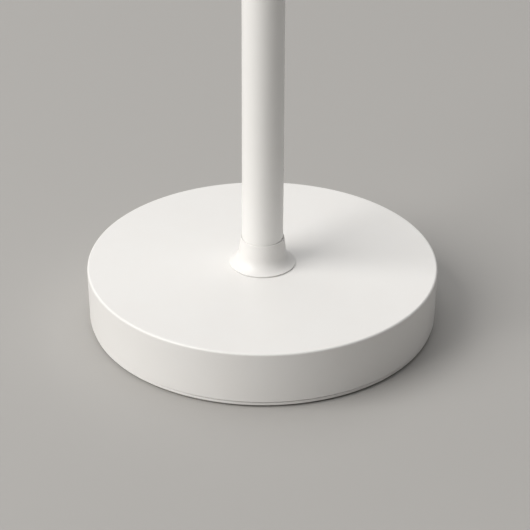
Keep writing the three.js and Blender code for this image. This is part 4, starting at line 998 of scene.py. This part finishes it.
@dataclass
class Pole:
    """The pole, and the collar that it stands in."""

    wall: float = 1.5
    end_rounding: float = 0.35
    lip: float = 0.45
    lip_rounding: float = 0.4
    bore_rounding: float = 0.12
    foot_inset: float = 0.4  # foot of the flare inside the frame's collar
    flare_start: float = 8.3  # above the collar's foot
    flare_end: float = 245.0  # where its arc ends, in degrees; at 270 it would end level
    flare_steps: int = 20
    swell: float = 0.9
    foot_edge: float = 0.5
    web: float = 2.0
    web_bore: float = 8.0

    def build(self) -> None:
        """Makes the collar and the pole."""
        self.collar()
        self.tube()

    def collar(self) -> None:
        """The flared collar."""
        box = Box("collar")
        bore = Box("pole_tube").radius + GAP
        mouth = bore + self.lip
        foot = box.radius - self.foot_inset
        rim, start = box.low.z + self.foot_edge, box.low.z + self.flare_start
        neck, turn = mouth + self.swell, math.radians(self.flare_end)
        radii = ((foot - neck) / (1 + math.cos(turn)), (rim - start) / math.sin(turn))
        flare = arc((neck + radii[0], start), radii, 180, self.flare_end, self.flare_steps)
        outline = [
            (self.web_bore, box.low.z),
            (self.web_bore, box.low.z + self.web),
            (bore, box.low.z + self.web),
            (bore, box.high.z, self.bore_rounding),
            (mouth, box.high.z, self.lip_rounding),
            *flare,
            (foot, box.low.z),
        ]
        publish("pole_collar", Shape.turned(outline, 128), WHITE_SHELL, "base", ["collar"], smooth=30)

    def tube(self) -> None:
        """The pole's tube."""
        box = Box("pole_tube")
        inner = box.radius - self.wall
        edges = (self.end_rounding, self.end_rounding)
        tube = Shape.tube(inner, box.radius, box.low.z, box.high.z, edges, 96)
        publish("pole", tube, WHITE_PAINT, "base", ["pole_tube"], smooth=30)


@dataclass
class Swivel:
    """What the head turns on, at the top of the pole."""

    post: float = 5.6
    post_bore: float = 3.5
    plug: float = 9.4
    flange: float = 1.2
    sleeve_wall: float = 1.7
    bush: float = 7.3
    edge: float = 0.35
    end_edge: float = 0.5
    flange_edge: float = 0.2
    ring_edge: float = 0.15
    grub: float = 1.8
    barrel_edge: float = 0.9
    slot: float = 3.2
    bolt: float = 3.2
    lead_bore: float = 4.0

    def build(self) -> None:
        """Makes the post, its washer, the sleeve round it and the knuckle."""
        self.turning_post()
        self.thrust_ring()
        self.sleeve()
        self.knuckle()

    def turning_post(self) -> None:
        """The post that stands in the pole, with the flange that carries the swivel."""
        box, ring = Box("swivel_post"), Box("thrust_washer")
        top = ring.low.z - SEAM
        flange = ring.radius
        outline = [
            (self.post_bore, box.low.z),
            (self.plug, box.low.z, self.end_edge),
            (self.plug, top - self.flange),
            (flange, top - self.flange, self.flange_edge),
            (flange, top, self.flange_edge),
            (self.post, top),
            (self.post, box.high.z, self.end_edge),
            (self.post_bore, box.high.z, 0.3),
        ]
        publish("turning_post", Shape.turned(outline, 72), ZINC, "base", ["swivel_post"])

    def thrust_ring(self) -> None:
        """The washer between the flange and the sleeve."""
        box = Box("thrust_washer")
        inner = self.post + GAP
        edges = (self.ring_edge, self.ring_edge)
        ring = Shape.tube(inner, box.radius, box.low.z, box.high.z, edges, 72)
        publish("thrust_ring", ring, ACETAL, "base", ["thrust_washer"])

    def sleeve(self) -> None:
        """The painted sleeve that turns on the post, carried on from the pole."""
        box, bush, grub = Box("neck_sleeve"), Box("swivel_bush"), Box("neck_grub_screw")
        cavity = box.radius - self.sleeve_wall
        floor = bush.high.z + SEAM
        sleeve = Shape.turned(
            [
                (self.bush + GAP, box.low.z),
                (box.radius, box.low.z, self.edge),
                (box.radius, box.high.z, self.edge),
                (cavity, box.high.z),
                (cavity, floor),
                (self.bush + GAP, floor),
            ],
            96,
        )
        hole = Shape.rod(self.grub, 0, box.radius + THROUGH, Facing.BACK, steps=24).at(z=grub.middle.z)
        publish("swivel_sleeve", sleeve.cut(hole), WHITE_PAINT, "neck", ["neck_sleeve"], smooth=30)

    def knuckle(self) -> None:
        """The round knuckle that the head tilts on."""
        box, sleeve = Box("tilt_knuckle"), Box("neck_sleeve")
        radius, half = box.size.y / 2, box.size.x / 2
        axis = box.high.z - radius
        seam = sleeve.high.z + SEAM
        barrel = Shape.tube(0, radius, -half, half, (self.barrel_edge, self.barrel_edge), 96)
        barrel.pointed(Facing.RIGHT).at(z=axis)
        stem_radius = sleeve.radius - self.sleeve_wall - GAP
        stem = Shape.turned(
            [
                (0, box.low.z),
                (stem_radius, box.low.z, 0.4),
                (stem_radius, seam),
                (sleeve.radius, seam, self.edge),
                (sleeve.radius, axis),
                (0, axis),
            ],
            96,
        )
        slot = Shape.block((-self.slot, -radius - THROUGH, axis - self.slot), (self.slot, 0, axis + radius))
        out = half + THROUGH
        bolt_hole = Shape.rod(self.bolt, -out, out, Facing.RIGHT, steps=32).at(z=axis)
        bore = Shape.rod(self.lead_bore, box.low.z - THROUGH, axis, steps=32)
        knuckle = barrel.join(stem).cut(slot, bolt_hole, bore)
        publish("tilt_barrel", knuckle, WHITE_PAINT, "neck", ["tilt_knuckle"], edge=0.25)


@dataclass
class TiltHinge:
    """The bolt that the head tilts on, and what is on it."""

    hole: float = 3.2
    thread: float = 3.0
    chamfer: float = 0.5
    head: float = 3.6
    ring_edge: float = 0.15
    spring_edge: float = 0.3
    thread_edge: float = 0.5

    def build(self) -> None:
        """Makes the washers, the bolt and its nut."""
        for side in ("left", "right"):
            box = Box(f"friction_washer_{side}")
            ring = self.ring(box, self.ring_edge)
            publish(f"friction_ring_{side}", ring, ACETAL, "head", [f"friction_washer_{side}"])
        spring = self.ring(Box("disc_spring"), self.spring_edge)
        publish("cupped_spring", spring, ZINC, "head", ["disc_spring"])
        self.bolt()

    def ring(self, box: Box, edge: float) -> Shape:
        """A washer on the tilt axis that fills a node's box."""
        made = Shape.tube(self.hole, box.size.z / 2, box.low.x, box.high.x, (edge, edge), 64)
        return made.pointed(Facing.RIGHT).at(z=box.middle.z)

    def bolt(self) -> None:
        """The hexagon bolt and its nut, with chamfered corners."""
        bolt, nut = Box("tilt_bolt"), Box("tilt_nut")
        axis = bolt.middle.z
        corner = bolt.size.z / 2
        head_end = bolt.low.x + self.head
        shank = Shape.tube(0, self.thread, head_end - THROUGH, bolt.high.x, (0, self.thread_edge), 32)
        head = self.hexagon(corner, bolt.low.x, head_end)
        made = head.join(shank.pointed(Facing.RIGHT)).at(z=axis)
        publish("hexagon_bolt", made, ZINC, "head", ["tilt_bolt"])
        made = self.hexagon(corner, nut.low.x, nut.high.x)
        start, end = nut.low.x - THROUGH, nut.high.x + THROUGH
        made.cut(Shape.rod(self.hole, start, end, Facing.RIGHT, steps=32))
        publish("hexagon_nut", made.at(z=axis), ZINC, "head", ["tilt_nut"])

    def hexagon(self, corner: float, start: float, end: float) -> Shape:
        """A hexagonal prism on the X axis, turned down at its corners.

        Args:
            corner: Its radius at the corners.
            start: Where it starts along X.
            end: Where it ends along X.

        Returns:
            The prism.
        """
        outline = [
            (0, start),
            (corner - self.chamfer, start),
            (corner, start + self.chamfer),
            (corner, end - self.chamfer),
            (corner - self.chamfer, end),
            (0, end),
        ]
        rounding = Shape.turned(outline, 48).pointed(Facing.RIGHT)
        return Shape.rod(corner, start, end, Facing.RIGHT, steps=6).keep(rounding)


@dataclass
class Head:
    """The display head's casing: bezel, rear cover and hinge housing."""

    corner: float = 9.0
    edge: float = 2.4
    wall: float = 2.2
    face: float = 3.2
    seam_edge: float = 0.3
    ledge: float = 2.2
    window_corner: float = 3.0
    opening_corner: float = 2.0
    housing_corner: float = 6.0
    housing_extra: float = 0.5  # how much thicker its back wall is
    lug: float = 4.0
    play: float = 2.5  # round the knuckle
    hole: float = 3.2
    screw_sink: float = 1.0
    lead_hole: float = 7.0
    lead_corner: float = 2.0
    lead_margin: float = 1.0

    def build(self) -> None:
        """Makes every piece of the casing."""
        self.bezel()
        self.rear_cover()
        self.housing()

    @property
    def depth(self) -> tuple[float, float]:
        """Where the head's front and back faces are along Y."""
        return Box("front_bezel").low.y, Box("rear_cover").high.y

    def slab(self, inset: float, start: float, end: float, corner: float) -> Shape:
        """A slab as wide and high as the head.

        Args:
            inset: How much smaller than the head it is, on each side.
            start: Where its front is along Y.
            end: Where its back is along Y.
            corner: The radius of its corners.

        Returns:
            The slab, in its place.
        """
        box = Box("front_bezel")
        made = Shape.slab(box.size.x - 2 * inset, box.size.z - 2 * inset, corner, end - start, steps=12)
        return made.at(0, start, box.middle.z)

    def solid(self) -> Shape:
        """The head without its hollow."""
        front, back = self.depth
        made = self.slab(0, front, back, self.corner)
        return made.soften_at(-front, Facing.FRONT, self.edge).soften_at(back, Facing.BACK, self.edge)

    def hollow(self) -> Shape:
        """The space inside the head."""
        front, back = self.depth
        return self.slab(self.wall, front + self.face, back - self.wall, self.corner - self.wall)

    def bezel(self) -> None:
        """The front half of the casing, with the opening for the window."""
        box, window = Box("front_bezel"), Box("display_window")
        front = box.low.y - THROUGH
        keep = Shape.block((-box.size.x, front, 0), (box.size.x, box.high.y, 2 * box.high.z))
        rebate = Shape.slab(
            window.size.x + 2 * GAP,
            window.size.z + 2 * GAP,
            self.window_corner + GAP,
            window.high.y + GAP - box.low.y + THROUGH,
        ).at(0, front, window.middle.z)
        width, height = window.size.x - 2 * self.ledge, window.size.z - 2 * self.ledge
        opening = Shape.slab(width, height, self.opening_corner, box.size.y)
        opening.at(0, box.low.y, window.middle.z)
        bezel = self.solid().keep(keep).cut(self.hollow(), rebate, opening)
        publish("display_bezel", bezel, WHITE_SHELL, "head", ["front_bezel"], edge=self.seam_edge)

    def rear_cover(self) -> None:
        """The rear half of the casing, with seats for its screws and a way in for the lead."""
        box = Box("rear_cover")
        out = box.high.y + THROUGH
        keep = Shape.block((-box.size.x, box.low.y, 0), (box.size.x, out, 2 * box.high.z))
        cover = self.solid().keep(keep).cut(self.hollow())
        for i in (1, 2, 3, 4):
            screw = Box(f"case_screw_{i}")
            seat = box.high.y - self.screw_sink - Screws.head_height - GAP
            hole = Screws.hole(seat, out, box.low.y, box.high.y, Facing.BACK)
            cover.cut(hole.at(screw.middle.x, 0, screw.middle.z))
        lead = Box("head_lead")
        way = Shape.slab(self.lead_hole, self.lead_hole, self.lead_corner, 2 * self.wall)
        way_z = lead.low.z + self.lead_hole / 2 - self.lead_margin
        cover.cut(way.at(0, box.high.y - 1.5 * self.wall, way_z))
        publish("display_rear_cover", cover, WHITE_SHELL, "head", ["rear_cover"], edge=self.seam_edge)

    def housing_block(self, inset: float) -> Shape:
        """The hinge housing as a block, or its hollow.

        Args:
            inset: How much smaller than the housing it is, at its sides and its back.

        Returns:
            The block, in its place.
        """
        box = Box("hinge_housing")
        width, height = box.size.x - 2 * inset, box.size.z - 2 * inset
        made = Shape.slab(width, height, self.housing_corner - inset, box.size.y - inset, steps=10)
        return made.at(0, box.low.y, box.middle.z)

    def housing(self) -> None:
        """The housing on the back of the head, whose cheeks hold the tilt bolt."""
        box, washer, barrel = Box("hinge_housing"), Box("friction_washer_right"), Box("tilt_knuckle")
        axis = washer.middle.z
        recess = washer.high.x + SEAM
        top = barrel.high.z + self.play
        cheek = recess + self.lug
        outer = self.housing_block(0).soften_at(box.high.y, Facing.BACK, self.edge)
        middle = Shape.block((-cheek, box.low.y, 0), (cheek, box.high.y, top + self.wall))
        cheeks = outer.copy().keep(middle)
        inner = self.housing_block(self.wall).at(y=-self.housing_extra)
        ways = Shape.block((-recess, box.low.y - THROUGH, 0), (recess, box.high.y + THROUGH, top))
        out = cheek + THROUGH
        bolt = Shape.rod(self.hole, -out, out, Facing.RIGHT, steps=32).at(z=axis)
        housing = outer.cut(inner).join(cheeks).cut(ways, bolt)
        publish("tilt_housing", housing, WHITE_SHELL, "head", ["hinge_housing"], edge=self.seam_edge)


@dataclass
class Display:
    """The window, and the two lines of figures behind it."""

    window_corner: float = 3.0
    window_edge: float = 0.35
    columns: int = 20
    dot: float = 0.8
    dot_height: float = 1.3  # of its width
    dot_pitch: float = 1.02
    dot_stretch: float = 1.25  # rows are further apart than columns
    dot_proud: float = 0.1
    character_pitch: float = 7.9
    line_pitch: float = 18.5
    lines: tuple[str, str] = ("2" + 14 * " " + "12.50", 15 * " " + "25.00")
    rows: ClassVar[dict[str, str]] = {
        "0": ".###. #...# #...# #...# #...# #...# .###.",
        "1": "..#.. .##.. ..#.. ..#.. ..#.. ..#.. .###.",
        "2": ".###. #...# ....# ...#. ..#.. .#... #####",
        "5": "##### #.... ####. ....# ....# #...# .###.",
        ".": "..... ..... ..... ..... ..... .##.. .##..",
        " ": "..... ..... ..... ..... ..... ..... .....",
    }

    def build(self) -> None:
        """Makes the window and its figures."""
        self.window()
        self.figures()

    def window(self) -> None:
        """The smoked window."""
        box = Box("display_window")
        window = Shape.slab(box.size.x, box.size.z, self.window_corner, box.size.y)
        window.soften_at(0, Facing.FRONT, self.window_edge, 3).at(0, box.low.y, box.middle.z)
        publish("smoked_window", window, SMOKED_ACRYLIC, "head", ["display_window"])

    @classmethod
    def lit_dots(cls, figure: str) -> set[tuple[int, int]]:
        """The dots that a character lights, on a grid five wide and seven high.

        Args:
            figure: A character of `rows`.

        Returns:
            Each lit dot's column and row, from the lower left.
        """
        rows = reversed(cls.rows[figure].split())
        return {
            (column, row) for row, dots in enumerate(rows) for column, dot in enumerate(dots) if dot == "#"
        }

    def figures(self) -> None:
        """The dots of every character, and the lit ones in front of them."""
        glass = Box("display_glass")
        lit, unlit = Shape(), Shape()
        size = Matrix.Diagonal((self.dot, 2 * self.dot_proud, self.dot * self.dot_height, 1))
        for line, text in enumerate(self.lines):
            middle_z = glass.middle.z + (0.5 - line) * self.line_pitch
            for column, figure in enumerate(text.ljust(self.columns)):
                middle_x = (column - (self.columns - 1) / 2) * self.character_pitch
                shown = self.lit_dots(figure)
                for c, r in itertools.product(range(5), range(7)):
                    x = middle_x + (c - 2) * self.dot_pitch
                    z = middle_z + (r - 3) * self.dot_pitch * self.dot_stretch
                    shape = lit if (c, r) in shown else unlit
                    place = Matrix.Translation((x, glass.low.y, z)) @ size
                    bmesh.ops.create_cube(shape.mesh, size=1, matrix=place)
        publish("unlit_figures", unlit, UNLIT_PHOSPHOR, "head")
        publish("lit_figures", lit, PHOSPHOR, "head")


# ---------------------------------------------------------------------------------------------
# Stage


@dataclass
class Stage:
    """The floor, the lights and the camera."""

    floor_size: float = 40.0
    floor_colour: str = "b0aeab"
    floor_roughness: float = 0.7
    camera_distance: float = 1.1125
    camera_elevation: float = 30.96
    camera_pitch: float = 29.595
    camera_roll: float = 0.265
    camera_aside: float = 0.0014
    lens: float = 137.0
    light_distance: float = 6.0
    light_target: float = 0.03  # height that the lights face
    sky: float = 0.1
    sky_colour: str = "f4f2f0"
    sensor: float = 36.0

    def build(self) -> None:
        """Sets up everything that isn't the object."""
        self.floor()
        self.lights()
        self.camera()
        self.world()

    def floor(self) -> None:
        """A plain pale floor."""
        shape = Shape()
        bmesh.ops.create_grid(shape.mesh, x_segments=1, y_segments=1, size=self.floor_size / 2)
        floor = shape.to_object("floor")
        made = bpy.data.materials.new("pale_floor")
        made.use_nodes = True
        shader = made.node_tree.nodes["Principled BSDF"]
        shader.inputs["Base Color"].default_value = linear(self.floor_colour)
        shader.inputs["Roughness"].default_value = self.floor_roughness
        floor.data.materials.append(made)

    def area(
        self, name: str, azimuth: float, elevation: float, size: float, power: float, colour: str = "ffffff"
    ) -> None:
        """Adds a soft box that faces the foot of the pole.

        Args:
            name: Its name.
            azimuth: Where it stands, in degrees from +X towards +Y.
            elevation: How high it stands, in degrees above the floor.
            size: Its width and height, in metres.
            power: Its power, in watts.
            colour: The colour of its light.
        """
        data = bpy.data.lights.new(name, "AREA")
        data.shape = "SQUARE"
        data.size = size
        data.energy = power
        data.color = linear(colour)[:3]
        light = bpy.data.objects.new(name, data)
        bpy.context.scene.collection.objects.link(light)
        around, up = math.radians(azimuth), math.radians(elevation)
        away = Vector((math.cos(around) * math.cos(up), math.sin(around) * math.cos(up), math.sin(up)))
        light.location = away * self.light_distance + Vector((0, 0, self.light_target))
        light.rotation_euler = (-away).to_track_quat("-Z", "Y").to_euler()

    def lights(self) -> None:
        """A wide soft box on the left, one overhead and one behind."""
        self.area("left_box", 202, 38, 4.4, 322, "fffdfa")
        self.area("top_box", 270, 80, 9.0, 150)
        self.area("back_box", 100, 60, 6.0, 105)

    def camera(self) -> None:
        """The camera that the main picture is taken with."""
        data = bpy.data.cameras.new("camera")
        data.sensor_width = self.sensor
        data.lens = self.lens
        camera = bpy.data.objects.new("camera", data)
        bpy.context.scene.collection.objects.link(camera)
        up = math.radians(self.camera_elevation)
        camera.location = (
            self.camera_aside,
            -self.camera_distance * math.cos(up),
            self.camera_distance * math.sin(up),
        )
        turn = Matrix.Rotation(math.radians(90 - self.camera_pitch), 4, "X")
        roll = Matrix.Rotation(math.radians(self.camera_roll), 4, "Z")
        camera.rotation_euler = (turn @ roll).to_euler()
        bpy.context.scene.camera = camera

    def world(self) -> None:
        """An even, dim sky."""
        world = bpy.data.worlds.new("studio")
        world.use_nodes = True
        background = world.node_tree.nodes["Background"]
        background.inputs["Color"].default_value = linear(self.sky_colour)
        background.inputs["Strength"].default_value = self.sky
        bpy.context.scene.world = world
        bpy.context.scene.view_settings.view_transform = "Standard"


def dress_frame() -> None:
    """Gives every node of the frame that stays in view its finish."""
    whole = (
        WHITE_SHELL, WHITE_PAINT, GREY_PLASTIC, ACETAL, RUBBER, ZINC, CAST_IRON, SOLDER_MASK,
        SMOKED_ACRYLIC, TUBE_GLASS, FOAM, SHEATH,
    )
    finishes = {finish.slot: finish for finish in whole}
    for part in frame["record"]["subparts"]:
        node = frame["nodes"][part["node"]]
        node.data.materials.clear()
        node.data.materials.append(finishes[part["material_slot"]].material())


def main() -> None:
    """Builds the object and its stage."""
    logging.basicConfig(level=logging.INFO, format="%(message)s")
    Stage().build()
    dress_frame()
    for assembly in (Base(), Screws(), Sockets(), Pole(), Swivel(), TiltHinge(), Head(), Display()):
        assembly.build()


if __name__ == "__main__":
    main()
